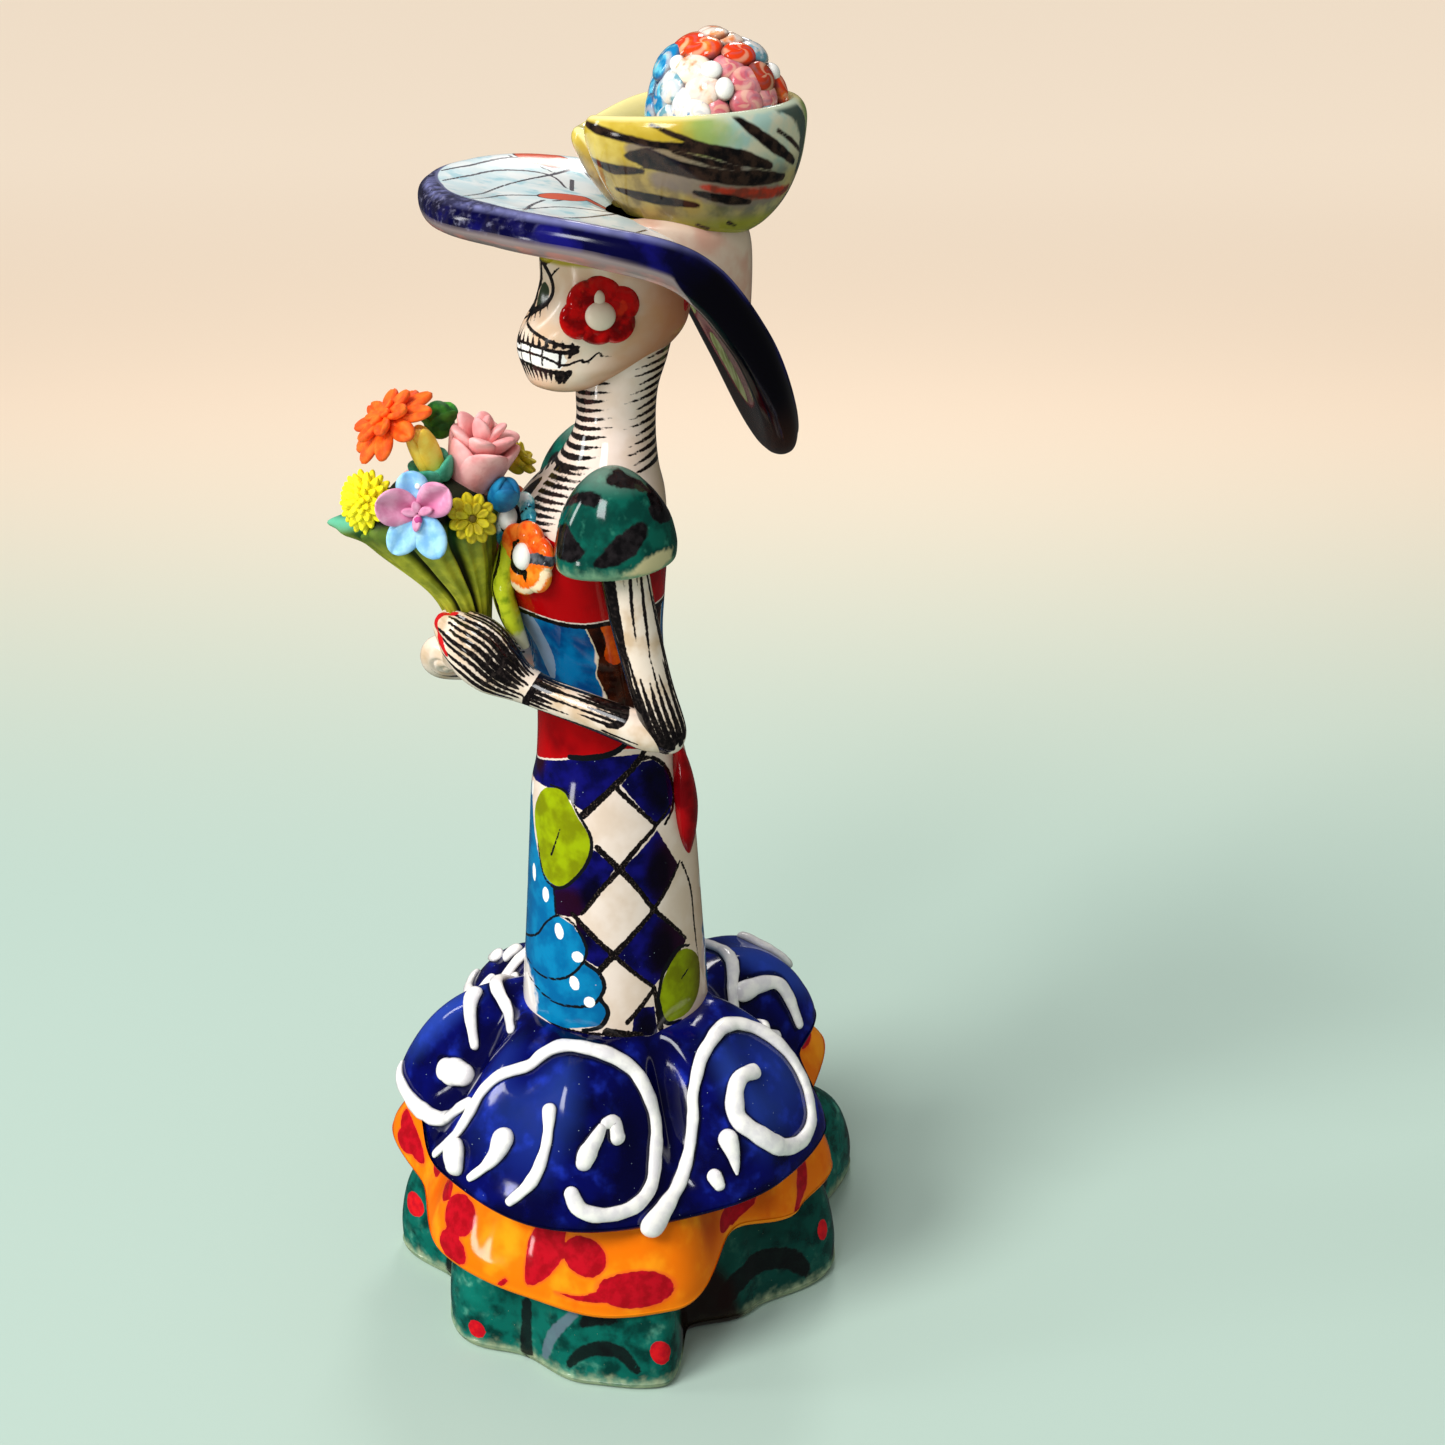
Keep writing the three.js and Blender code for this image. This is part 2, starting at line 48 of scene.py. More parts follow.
camera_data = bpy.data.cameras.new("camera")
camera = bpy.data.objects.new("camera", camera_data)
bpy.context.scene.collection.objects.link(camera)
camera.location = (0.44316, -0.07314, 0.350)
camera.rotation_euler = (math.radians(66.0), 0.0, math.radians(77.309))
camera_data.lens = 53.07
camera_data.sensor_width = 36.0
camera_data.clip_start = 0.01
bpy.context.scene.camera = camera
bpy.context.scene.view_settings.view_transform = "Standard"

# Driving sizes, in millimetres, as in the solids

CROWN_RADIUS = 17.0
CROWN_CENTRE = 15.5
CROWN_TOP = 267.0
BOWL_LENGTH = 49.0
BOWL_WIDTH = 45.0
BOWL_CENTRE = 19.5
BOWL_FOOT = 261.0
BOWL_RIM = 288.5
HAT_HALF_WIDTH = 42.0
HAT_FRONT_REACH = 51.0
HAT_BACK_REACH = 60.0
HAT_TILT = 0.035
BRIM_ROLL = 3.1
SLEEVE_RADIUS = 12.6
SLEEVE_REACH = 21.5
DOME_CENTRE = (0.0, 25.5, 286.0)

# Hems as rings of folds: degrees, reach from the axis, height, and how far the slope above swells out

GREEN_HEM = [
    [-150, 54, 0, 1], [-128, 47, 0, -1], [-108, 57, 0, 1], [-86, 44, 0, -1], [-60, 50.5, 0, 1],
    [-41, 46, 0, -1], [-20, 50.5, 0, 1], [0, 52.5, 0, 1], [18, 35.5, 0, -2], [42, 41, 0, -1],
    [73, 54.5, 0, 1], [92, 54, 0, -1], [113, 73, 0, 1], [135, 56, 0, -1], [160, 64, 0, 1], [184, 50, 0, -1],
]
ORANGE_HEM = [
    [-145, 48, 31, -1], [-112, 59, 33, 1], [-88, 49.5, 28, -1], [-66, 52.5, 24, 1], [-38, 50, 22, 0],
    [-12, 52, 21, 1], [4, 51.5, 21, 1], [35, 39.5, 27, -2], [58, 48, 25, 0], [80, 54, 25, 1],
    [97, 52, 31, -1], [118, 68, 38, 1], [142, 54, 36, -1], [175, 61, 32, 1],
]
BLUE_HEM = [
    [-150, 54, 58, 2], [-126, 46, 60, -3], [-104, 54.5, 52, 3], [-86, 49.5, 51, -3], [-64, 52.5, 48.5, 2],
    [-30, 53, 45.5, 2.5], [8, 46.5, 42.5, -5], [38, 51.5, 45, 3.5], [62, 53, 46, 2], [82, 45.5, 56, -5],
    [104, 55, 58, 3], [122, 58, 61, 3], [142, 47, 63, -4], [172, 56, 59, 3], [192, 47, 62, -3],
]

# Rings of the body and the skull: height, half width, front and back

BODY = [
    [60, 22.5, -22.5, 22.5], [79, 22.5, -22.5, 22.5], [100, 21, -21, 21.2], [122, 19.5, -19.5, 19.8],
    [136, 17.5, -18.5, 18.6], [144, 16, -17, 17.2], [158, 14.8, -16.5, 14], [172, 15.2, -18, 12.5],
    [183, 17.5, -22.5, 13], [192, 19, -25, 13.6], [200, 19.5, -22, 13.6], [207, 17.5, -17, 13.2],
    [213, 12.8, -10.8, 12], [221, 8.2, -6.1, 11.6], [229, 7.9, -5.6, 12.2], [236, 8.3, -5.2, 14.4],
    [243, 8.5, -4.8, 16.2],
]
SKULL = [
    [230, 4.6, -12.4, -2.4], [231.5, 7.6, -15.4, 1.5], [235, 9.8, -16.9, 9.5], [239, 10.8, -17.7, 15.2],
    [243, 12, -17, 18.4], [248, 12.9, -14.6, 19.6], [253, 13.2, -12.8, 19.6], [259, 13, -12.3, 18.8],
    [267, 11, -10, 17],
]

# The middle line of the brim: length from the crown backwards, place on y, and height

BRIM_LINE = [
    [-51, -36.8, 269.8], [-38, -24.5, 269.8], [-19, -6, 267.8], [0, 11.5, 262.5], [20, 24, 248],
    [40, 32.5, 230.5], [60, 38, 215],
]

# Tools for forms

TURN = 2 * math.pi
MILLIMETRE = 0.001
OUTSIDE = -9.0  # a painting's distance far outside the paint
INSIDE = 9.0  # and well inside it
SHARP_EDGE = 1.05  # radians between two faces whose edge is drawn sharp
GLAZE_INDEX = 1.5


def smooth(rows, at):
    """Values on a smooth curve through rows, at positions counted in rows."""
    rows = np.asarray(rows, float)
    at = np.clip(np.asarray(at, float), 0, len(rows) - 1)
    index = np.minimum(at.astype(int), len(rows) - 2)
    t = at - index
    a, b, c, d = (rows[np.clip(index + k, 0, len(rows) - 1)] for k in (-1, 0, 1, 2))
    t = t.reshape(t.shape + (1,) * (b.ndim - t.ndim))
    return 0.5 * (2 * b + (c - a) * t + (2 * a - 5 * b + 4 * c - d) * t**2
                  + (3 * b - a - 3 * c + d) * t**3)


def refined(rows, steps):
    """All the rows with steps between them. steps is one number, or one for each gap."""
    gaps = len(rows) - 1
    counts = [steps] * gaps if isinstance(steps, int) else steps
    at = np.concatenate([i + np.arange(n) / n for i, n in enumerate(counts)] + [[gaps]])
    return smooth(rows, at)


def around(entries, degrees, column):
    """The value at an angle of a closed row of crests and hollows."""
    angles = np.array([e[0] for e in entries] + [entries[0][0] + 360.0])
    values = np.array([e[column] for e in entries] + [entries[0][column]], float)
    inside = (np.asarray(degrees, float) - angles[0]) % 360.0 + angles[0]
    index = np.clip(np.searchsorted(angles, inside, side="right") - 1, 0, len(entries) - 1)
    share = (inside - angles[index]) / (angles[index + 1] - angles[index])
    ease = 0.5 - 0.5 * np.cos(np.pi * share)
    return values[index] * (1 - ease) + values[index + 1] * ease


def turns(columns):
    """Shares of a whole turn, with both ends."""
    return np.linspace(0.0, 1.0, columns + 1)


def points(x, y, z):
    """A grid of points from three grids that fit each other."""
    return np.stack(np.broadcast_arrays(x, y, z), -1).astype(float)


def capped(rings, inner):
    """A stack of rings that closes on the middle of its two ends."""
    first = rings[0, :-1].mean(0)
    last = rings[-1, :-1].mean(0)
    shares = np.arange(inner) / inner
    head = [first + (rings[0] - first) * s for s in shares]
    tail = [last + (rings[-1] - last) * s for s in shares[::-1]]
    return np.concatenate([np.array(head), rings, np.array(tail)])


def padded(values, inner):
    """The values of a stack for its capped form."""
    return np.concatenate([np.repeat(values[:1], inner, 0), values, np.repeat(values[-1:], inner, 0)])


def closed(grid, fields, inner=3, mirror=1):
    """A stack of rings and its values with closed ends, on either side of the body."""
    fields = {key: padded(values, inner) for key, values in fields.items()}
    return capped(grid, inner) * (mirror, 1, 1), fields


def normals_of(grid):
    """Unit normals of a grid of points, pointing to the right of its rows."""
    along = np.gradient(grid, axis=0)
    across = np.gradient(grid, axis=1)
    across[:, 0] = across[:, -1] = grid[:, 1] - grid[:, -2]
    normal = np.cross(across, along)
    return normal / np.maximum(np.linalg.norm(normal, axis=-1, keepdims=True), 1e-9)


def unit(vector):
    vector = np.asarray(vector, float)
    return vector / np.linalg.norm(vector)


def basis(facing):
    """Right, up and out for a thing that faces along a direction."""
    out = unit(facing)
    right = unit(np.cross((0.0, 0.0, 1.0), out)) if abs(out[2]) < 0.99 else np.array([1.0, 0, 0])
    return np.stack([right, np.cross(out, right), out])


def bell(x, width):
    """One at zero, and near nothing at two widths from it."""
    return np.exp(-((np.asarray(x) / width) ** 2))


def wrapped(degrees):
    """The same angle between -180 and 180."""
    return (degrees + 180) % 360 - 180


def lengths_along(spine):
    """How far each point lies along a line of points."""
    return np.concatenate([[0], np.cumsum(np.linalg.norm(np.diff(spine, axis=0), axis=1))])


def pushed(grid, centre, amounts):
    """A grid moved outward by amounts, along its normals and away from a centre."""
    out = normals_of(grid)
    out *= np.sign(((grid - centre) * out).sum(-1, keepdims=True))
    return grid + out * amounts[..., None]


# Painting: signed distances in millimetres, positive inside the paint


class Chart:
    """A surface laid out flat: degrees across, with their length in millimetres, and millimetres along."""

    def __init__(self, across, along, scale=1.0, wrap=360.0):
        across, along, scale = np.broadcast_arrays(across, along, scale)
        self.shape = across.shape
        self.across = across.ravel()
        self.along = along.ravel()
        self.scale = scale.ravel()
        self.wrap = wrap

    def offset(self, middle):
        difference = self.across - middle
        if self.wrap:
            difference = (difference + self.wrap / 2) % self.wrap - self.wrap / 2
        return difference

    def empty(self):
        return np.full(len(self.across), OUTSIDE)

    def strokes(self, lines, grow=0.0):
        """Lines of [(across, along), ...] points and then their half widths from end to end."""
        best = self.empty()
        for path, *halves in lines:
            path = np.array(path, float)
            if len(path) > 2:
                path = refined(path, 4)
            sizes = np.interp(np.linspace(0, 1, len(path)), np.linspace(0, 1, len(halves)), halves) + grow
            for (a, b), (ra, rb) in zip(zip(path, path[1:]), zip(sizes, sizes[1:])):
                middle = (a + b) / 2
                reach = max(ra, rb) + 2.5
                x = self.offset(middle[0]) * self.scale
                y = self.along - middle[1]
                half_x = abs(b[0] - a[0]) / 2 * self.scale
                half_y = abs(b[1] - a[1]) / 2
                near = np.flatnonzero((np.abs(x) < half_x + reach) & (np.abs(y) < half_y + reach))
                if not len(near):
                    continue
                x, y, scale = x[near], y[near], self.scale[near]
                dx, dy = (b[0] - a[0]) * scale, b[1] - a[1]
                t = np.clip((x * dx + y * dy) / (dx * dx + dy * dy + 1e-9) + 0.5, 0, 1)
                distance = np.hypot(x - (t - 0.5) * dx, y - (t - 0.5) * dy)
                best[near] = np.maximum(best[near], ra + (rb - ra) * t - distance)
        return best.reshape(self.shape)

    def ovals(self, items):
        """Ovals of (across, along, half width, half height, lean in degrees)."""
        best = self.empty()
        for across, along, wide, tall, *lean in items:
            angle = math.radians(lean[0] if lean else 0.0)
            x = self.offset(across) * self.scale
            y = self.along - along
            u = (x * math.cos(angle) + y * math.sin(angle)) / wide
            v = (-x * math.sin(angle) + y * math.cos(angle)) / tall
            best = np.maximum(best, np.maximum(OUTSIDE, (1 - np.hypot(u, v)) * min(wide, tall)))
        return best.reshape(self.shape)

    def patch(self, corners, soft=False):
        """A patch inside a closed line through the corners, which is smooth where soft is true."""
        path = np.array(list(corners) + [corners[0]], float)
        if soft:
            path = np.concatenate([path[-2:-1], path, path[1:2]])
            path = smooth(path, np.linspace(1, len(path) - 2, 6 * (len(path) - 3) + 1))
        middle = path[:-1, 0].mean()
        x = self.offset(middle) * self.scale
        y = self.along
        inside = np.zeros(len(x), bool)
        nearest = np.full(len(x), 81.0)
        for a, b in zip(path, path[1:]):
            ax, bx = (a[0] - middle) * self.scale, (b[0] - middle) * self.scale
            dx, dy = bx - ax, b[1] - a[1]
            t = np.clip(((x - ax) * dx + (y - a[1]) * dy) / (dx * dx + dy * dy + 1e-9), 0, 1)
            nearest = np.minimum(nearest, (x - ax - t * dx) ** 2 + (y - a[1] - t * dy) ** 2)
            crosses = (a[1] > y) != (b[1] > y)
            height = dy if dy else 1e-9
            inside ^= crosses & (x < ax + dx * (y - a[1]) / height)
        return (np.where(inside, 1, -1) * np.sqrt(nearest)).reshape(self.shape)


def most(*fields):
    """Inside any of the fields."""
    return np.maximum.reduce(fields)


def both(*fields):
    """Inside all of the fields."""
    return np.minimum.reduce(fields)


def moved(shapes, move):
    """Patches, strokes or ovals with each place on the chart moved."""
    result = []
    for shape in shapes:
        if isinstance(shape[0], tuple):
            result.append([move(*place) for place in shape])
        elif isinstance(shape[0], list):
            result.append([[move(*place) for place in shape[0]], *shape[1:]])
        else:
            result.append((*move(*shape[:2]), *shape[2:]))
    return result


def mirrored(shapes, middle=-90):
    """The same shapes on the other side of the body, where the front is at -90 degrees."""
    shapes = moved(shapes, lambda across, along: (2 * middle - across, along))
    return [(*s[:4], -s[4]) if isinstance(s, tuple) and len(s) > 4 else s for s in shapes]


def repeated(shapes, step):
    """The same shapes again farther round."""
    return moved(shapes, lambda across, along: (across + step, along))


def scaled(shapes, span):
    """Shapes whose places along are shares of a span."""
    return moved(shapes, lambda across, along: (across, along * span))


# Materials


def linear(red, green, blue):
    """The light of a colour that is written as it shows on a screen, in steps of 255."""
    def one(value):
        value /= 255.0
        return value / 12.92 if value <= 0.04045 else ((value + 0.055) / 1.055) ** 2.4
    return (one(red), one(green), one(blue), 1.0)


class Look:
    """A node material whose colour is built up layer by layer."""

    def __init__(self, name, roughness, bump=0.0, bump_size=1.0):
        self.material = bpy.data.materials.new(name)
        self.material.use_nodes = True
        self.tree = self.material.node_tree
        self.shader = self.tree.nodes["Principled BSDF"]
        self.shader.inputs["Roughness"].default_value = roughness
        self.shader.inputs["IOR"].default_value = GLAZE_INDEX
        self.place = self.tree.nodes.new("ShaderNodeTexCoord").outputs["Object"]
        if bump:
            node = self.tree.nodes.new("ShaderNodeBump")
            node.inputs["Strength"].default_value = 1.0
            node.inputs["Distance"].default_value = bump * MILLIMETRE
            self.link(self.noise(bump_size, 2.0), node.inputs["Height"])
            self.link(node.outputs["Normal"], self.shader.inputs["Normal"])

    def link(self, source, target):
        if hasattr(source, "links"):
            self.tree.links.new(source, target)
        else:
            target.default_value = source

    def noise(self, size, detail, stretch=None):
        """Soft noise whose blotches are about size millimetres across."""
        node = self.tree.nodes.new("ShaderNodeTexNoise")
        node.inputs["Scale"].default_value = 1000.0 / size
        node.inputs["Detail"].default_value = detail
        place = self.place
        if stretch:
            mapping = self.tree.nodes.new("ShaderNodeMapping")
            mapping.inputs["Scale"].default_value = stretch
            self.link(self.place, mapping.inputs["Vector"])
            place = mapping.outputs["Vector"]
        self.link(place, node.inputs["Vector"])
        return node.outputs["Fac"]

    def attribute(self, name):
        node = self.tree.nodes.new("ShaderNodeAttribute")
        node.attribute_name = name
        return node.outputs["Fac"]

    def math(self, kind, a, b):
        node = self.tree.nodes.new("ShaderNodeMath")
        node.operation = kind
        self.link(a, node.inputs[0])
        self.link(b, node.inputs[1])
        return node.outputs[0]

    def ramp(self, value, start, end, low_value=0.0, high_value=1.0):
        node = self.tree.nodes.new("ShaderNodeMapRange")
        node.interpolation_type = "SMOOTHSTEP"
        for key, amount in zip(("From Min", "From Max", "To Min", "To Max"),
                               (start, end, low_value, high_value)):
            node.inputs[key].default_value = amount
        self.link(value, node.inputs["Value"])
        return node.outputs["Result"]

    def mix(self, factor, a, b, share=1.0):
        """Colour a with b over it by a factor. share is the most of b that is laid on."""
        if share < 1.0:
            factor = self.math("MULTIPLY", factor, share)
        node = self.tree.nodes.new("ShaderNodeMix")
        node.data_type = "RGBA"
        self.link(factor, node.inputs["Factor"])
        for key, colour in (("A", a), ("B", b)):
            self.link(linear(*colour) if isinstance(colour, tuple) else colour, node.inputs[key])
        return next(s for s in node.outputs if s.type == "RGBA")

    def mottled(self, a, b, size, start=0.35, end=0.65, detail=3.0, stretch=None, share=1.0):
        """Colour a with blotches of b, of about size millimetres."""
        return self.mix(self.ramp(self.noise(size, detail, stretch), start, end, 0.0, share), a, b)

    def fade(self, name, start, end, low_value=0.0, high_value=1.0):
        """From the low to the high value as an attribute goes from start to end."""
        return self.ramp(self.attribute(name), start, end, low_value, high_value)

    def ragged(self, name, size, detail, amount):
        """An attribute with noise on it, for a ragged edge."""
        return self.math("ADD", self.attribute(name), self.math("MULTIPLY", self.noise(size, detail), amount))

    def tint(self, colour, name, paint, start, end, share=1.0):
        """Paint laid on as an attribute goes from start to end."""
        return self.mix(self.fade(name, start, end, 0.0, share), colour, paint)

    def mask(self, name, wobble=0.12, size=0.8, soft=0.07):
        """Where an attribute's signed distance is positive, with an edge that wobbles as a brush's does."""
        value = self.attribute(name)
        if wobble:
            shift = self.math("MULTIPLY", self.math("SUBTRACT", self.noise(size, 2.0), 0.5), 4 * wobble)
            value = self.math("ADD", value, shift)
        return self.ramp(value, -soft, soft)

    def specks(self, size, share):
        """Small round specks, in a share of the cells of a grain of about size millimetres."""
        node = self.tree.nodes.new("ShaderNodeTexVoronoi")
        node.inputs["Scale"].default_value = 1000.0 / size
        self.link(self.place, node.inputs["Vector"])
        dots = self.ramp(node.outputs["Distance"], 0.10, 0.05)
        return self.math("MULTIPLY", dots, self.ramp(node.outputs["Color"], 1 - share, 1 - share + 0.02))

    def over(self, colour, name, paint, **mask):
        """Paint inside the strokes of an attribute."""
        return self.mix(self.mask(name, **mask), colour, paint)

    def done(self, colour):
        self.link(colour, self.shader.inputs["Base Color"])
        return self.material


CREAM = (232, 213, 194)
BLACK = (14, 11, 12)
SOOT = (38, 30, 28)
WHITE = (246, 243, 238)
INK = (2, 2, 30)
PLUM = (34, 4, 24)
RED = (196, 8, 10)
ORANGE = (240, 116, 4)
AMBER = (255, 152, 18)
VERMILION = (232, 74, 34)
CRIMSON = (186, 12, 30)
CREASE_SHADE_TEAL = (8, 66, 58)
MOSS = (176, 190, 152)
PALE_BLUE = (196, 220, 232)


# Pieces


def sheet_mesh(name, grid, fields, names):
    """A mesh grid laid on a grid of points, with its values as attributes."""
    rows, columns = grid.shape[:2]
    work = bmesh.new()
    work.loops.layers.uv.new("chart")
    bmesh.ops.create_grid(work, x_segments=columns - 1, y_segments=rows - 1, size=0.5, calc_uvs=True)
    mesh = bpy.data.meshes.new(name)
    work.to_mesh(mesh)
    work.free()
    flat = np.empty(len(mesh.vertices) * 3)
    mesh.vertices.foreach_get("co", flat)
    flat = flat.reshape(-1, 3)
    start, end = flat.min(0), flat.max(0)
    column = np.rint((flat[:, 0] - start[0]) / (end[0] - start[0]) * (columns - 1)).astype(int)
    row = np.rint((flat[:, 1] - start[1]) / (end[1] - start[1]) * (rows - 1)).astype(int)
    mesh.vertices.foreach_set("co", (grid[row, column] * MILLIMETRE).ravel())
    for key in names:
        values = np.broadcast_to(fields.get(key, OUTSIDE), (rows, columns))
        layer = mesh.attributes.new(key, "FLOAT", "POINT")
        layer.data.foreach_set("value", values[row, column].astype(np.float32))
    return mesh


def piece(name, parts, material, node="skeleton_lady", slot="painted_glaze", weld=2e-6):
    """One object from grids of points with their paint. Its seams and poles are welded."""
    names = sorted({key for _, fields in parts for key in fields})
    work = bmesh.new()
    for grid, fields in parts:
        mesh = sheet_mesh(name + "_part", grid, fields, names)
        work.from_mesh(mesh)
        bpy.data.meshes.remove(mesh)
    bmesh.ops.remove_doubles(work, verts=work.verts, dist=weld)
    bmesh.ops.recalc_face_normals(work, faces=work.faces)
    for edge in work.edges:
        if len(edge.link_faces) == 2 and edge.calc_face_angle(0.0) > SHARP_EDGE:
            edge.smooth = False
    whole = bpy.data.meshes.new(name)
    work.to_mesh(whole)
    work.free()
    whole.polygons.foreach_set("use_smooth", np.ones(len(whole.polygons), bool))
    whole.materials.append(material)
    thing = bpy.data.objects.new(name, whole)
    bpy.context.scene.collection.objects.link(thing)
    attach(thing, "root")
    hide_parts(node)
    return thing


def ball(columns, rows):
    """A grid of points on a ball of radius one."""
    turn = TURN * turns(columns)[None, :]
    rise = np.linspace(-math.pi / 2, math.pi / 2, rows)[:, None]
    grid = points(np.cos(rise) * np.cos(turn), np.cos(rise) * np.sin(turn), np.sin(rise))
    grid[0] = grid[0, :1]
    grid[-1] = grid[-1, :1]
    return grid


def egg(middle, half_sizes, columns, rows, frame_=None, fields=None):
    """An egg with its middle and its half sizes, turned to a frame, and its fields."""
    grid = ball(columns, rows) * half_sizes
    if frame_ is not None:
        grid = grid @ frame_
    return grid + np.asarray(middle, float), fields or {}


def oval_stack(sections, columns, steps):
    """Oval rings through sections of height, half width, front and back, with their chart."""
    rows = refined(sections, steps)
    angle = TURN * turns(columns)[None, :]
    height, wide, front, back = (rows[:, k][:, None] for k in range(4))
    grid = points(wide * np.cos(angle), (front + back) / 2 + (back - front) / 2 * np.sin(angle), height)
    degrees = np.broadcast_to(360 * turns(columns), grid.shape[:2])
    scale = (wide + (back - front) / 2) / 2 * math.pi / 180
    return grid, Chart(degrees, grid[..., 2], scale), degrees, grid[..., 2]


# The flounces. Slopes from the hem up to the waist: shares of the way out and of the way down

BLUE_SLOPE = [[1, 1], [0.97, 0.88], [0.86, 0.7], [0.66, 0.45], [0.42, 0.22], [0.18, 0.06], [0, 0], [-0.2, 0]]
ORANGE_SLOPE = [[1, 1], [0.95, 0.82], [0.7, 0.5], [0.35, 0.2], [0, 0]]
GREEN_SLOPE = [[1, 1], [0.99, 0.72], [0.84, 0.36], [0.5, 0.1], [0, 0]]

# The hem, the radius and height of the waist, and the slope

FLOUNCES = {
    "blue": (BLUE_HEM, 21.5, 80.0, BLUE_SLOPE),
    "orange": (ORANGE_HEM, 32.0, 56.0, ORANGE_SLOPE),
    "green": (GREEN_HEM, 33.0, 34.0, GREEN_SLOPE),
}
PAST_HEM = 1.02
CREASE_SHADE = 1.3
BLUE_SPAN = 47.0  # length of the slope in millimetres, on its chart
ORANGE_SPAN = 34.0
GREEN_SPAN = 34.0

# Undersides of a hem: millimetres out from it and up from it

THIN_EDGE = [[-14, 3.6], [-5, 1.1], [-1.9, 0.05], [-0.5, 0.35], [0.05, 1.5]]
FOOT_EDGE = [[-14, 0], [-3, 0], [-1.2, 0.1], [-0.1, 0.8], [0.5, 2.2]]

# Narrow creases and ridges: degrees, width, height, and the shares of the slope that they run between

CREASES = {
    "blue": [(12, 5, -2.2, 0, .8), (21, 5, 1.2, 0, .6), (2, 5, .9, 0, .5), (-75, 10, -3.8, .06, 1.04),
             (-98, 8, 1.0, .1, .9), (80, 6, -2.0, 0, .85), (66, 6, .8, 0, .6), (100, 9, 1.6, .1, .9),
             (-46, 5, -.8, 0, .35), (-30, 6, .5, 0, .4), (-60, 5, .5, 0, .4), (44, 6, -.7, .15, .6),
             (108, 6, 1.0, 0, .7), (-112, 6, .9, 0, .7), (-20, 8, -.5, .4, 1), (56, 6, .5, .3, .9),
             (140, 6, -1.4, 0, .8), (-128, 6, -1.4, 0, .8)],
    "orange": [(-76, 5, -1.2, .2, 1), (-50, 5, -1.0, .2, .9), (-36, 5, .7, .3, 1), (-2, 5, .5, .3, .9),
               (20, 6, -1.2, .2, 1), (47, 5, -1.2, .2, 1), (58, 4, .6, .2, .9), (70, 5, -.9, .2, 1),
               (-14, 5, -.4, .3, .9)],
    "green": [(-70, 6, .6, .2, .9), (-50, 5, -.5, .2, .9), (-29, 4, .6, .1, .8), (-12, 5, -.5, .2, .9),
              (60, 6, .6, .2, .9), (82, 5, -.7, .2, .9)],
}


def folds(kind, degrees, down, depth=1.0):
    """How far a flounce stands out: its folds, and its creases times a depth."""
    swell = around(FLOUNCES[kind][0], degrees, 3) * np.sin(np.pi * np.clip(down, 0, 1) ** 0.75)
    for middle, width, tall, start, end in CREASES[kind]:
        share = np.clip((down - start) / (end - start), 0, 1)
        swell = swell + depth * tall * bell(wrapped(degrees - middle), width) * np.sin(np.pi * share ** 0.8)
    return swell


def on_flounce(kind, degrees, out, down):
    """A point of a flounce, at shares of the way out and down."""
    hem, radius, height, _ = FLOUNCES[kind]
    swell = folds(kind, degrees, down)
    reach = radius + (around(hem, degrees, 1) - radius) * out + 0.5 * swell
    top = height + (around(hem, degrees, 2) - height) * down + swell
    angle = np.radians(degrees)
    return points(reach * np.cos(angle), reach * np.sin(angle), top)


def flounce_at(kind, degrees, share):
    """The point of a flounce at a share of the way down."""
    slope = refined(FLOUNCES[kind][3][::-1], 12)
    out = np.interp(share, slope[:, 1], slope[:, 0])
    return on_flounce(kind, np.asarray(degrees, float), out, np.asarray(share, float))


def flounce(kind, edge, columns, rows, span):
    """A flounce's grid, its chart of degrees and millimetres down, how far round and down, and its folds."""
    hem = FLOUNCES[kind][0]
    degrees = 360 * turns(columns)[None, :]
    slope = refined(FLOUNCES[kind][3], rows)
    upper = on_flounce(kind, degrees, slope[:, :1], slope[:, 1:])
    lip = refined(edge, [3, 3, 4, 4])
    reach = around(hem, degrees, 1) + lip[:, :1]
    angle = np.radians(degrees)
    lower = points(reach * np.cos(angle), reach * np.sin(angle), around(hem, degrees, 2) + lip[:, 1:])
    grid = np.concatenate([lower, upper[2:]])
    down = np.concatenate([np.full((len(lip), 1), PAST_HEM), slope[2:, 1:]])
    down = np.broadcast_to(down, grid.shape[:2])
    degrees = np.broadcast_to(degrees, grid.shape[:2])
    scale = np.hypot(grid[..., 0], grid[..., 1]) * math.pi / 180
    fold = folds(kind, degrees, down, CREASE_SHADE)
    return grid, Chart(degrees, down * span, scale), degrees, down, fold


# White slip lines on the blue flounce: degrees, share of the way down, and half widths. Then plainer ones
# for the sides that do not show.

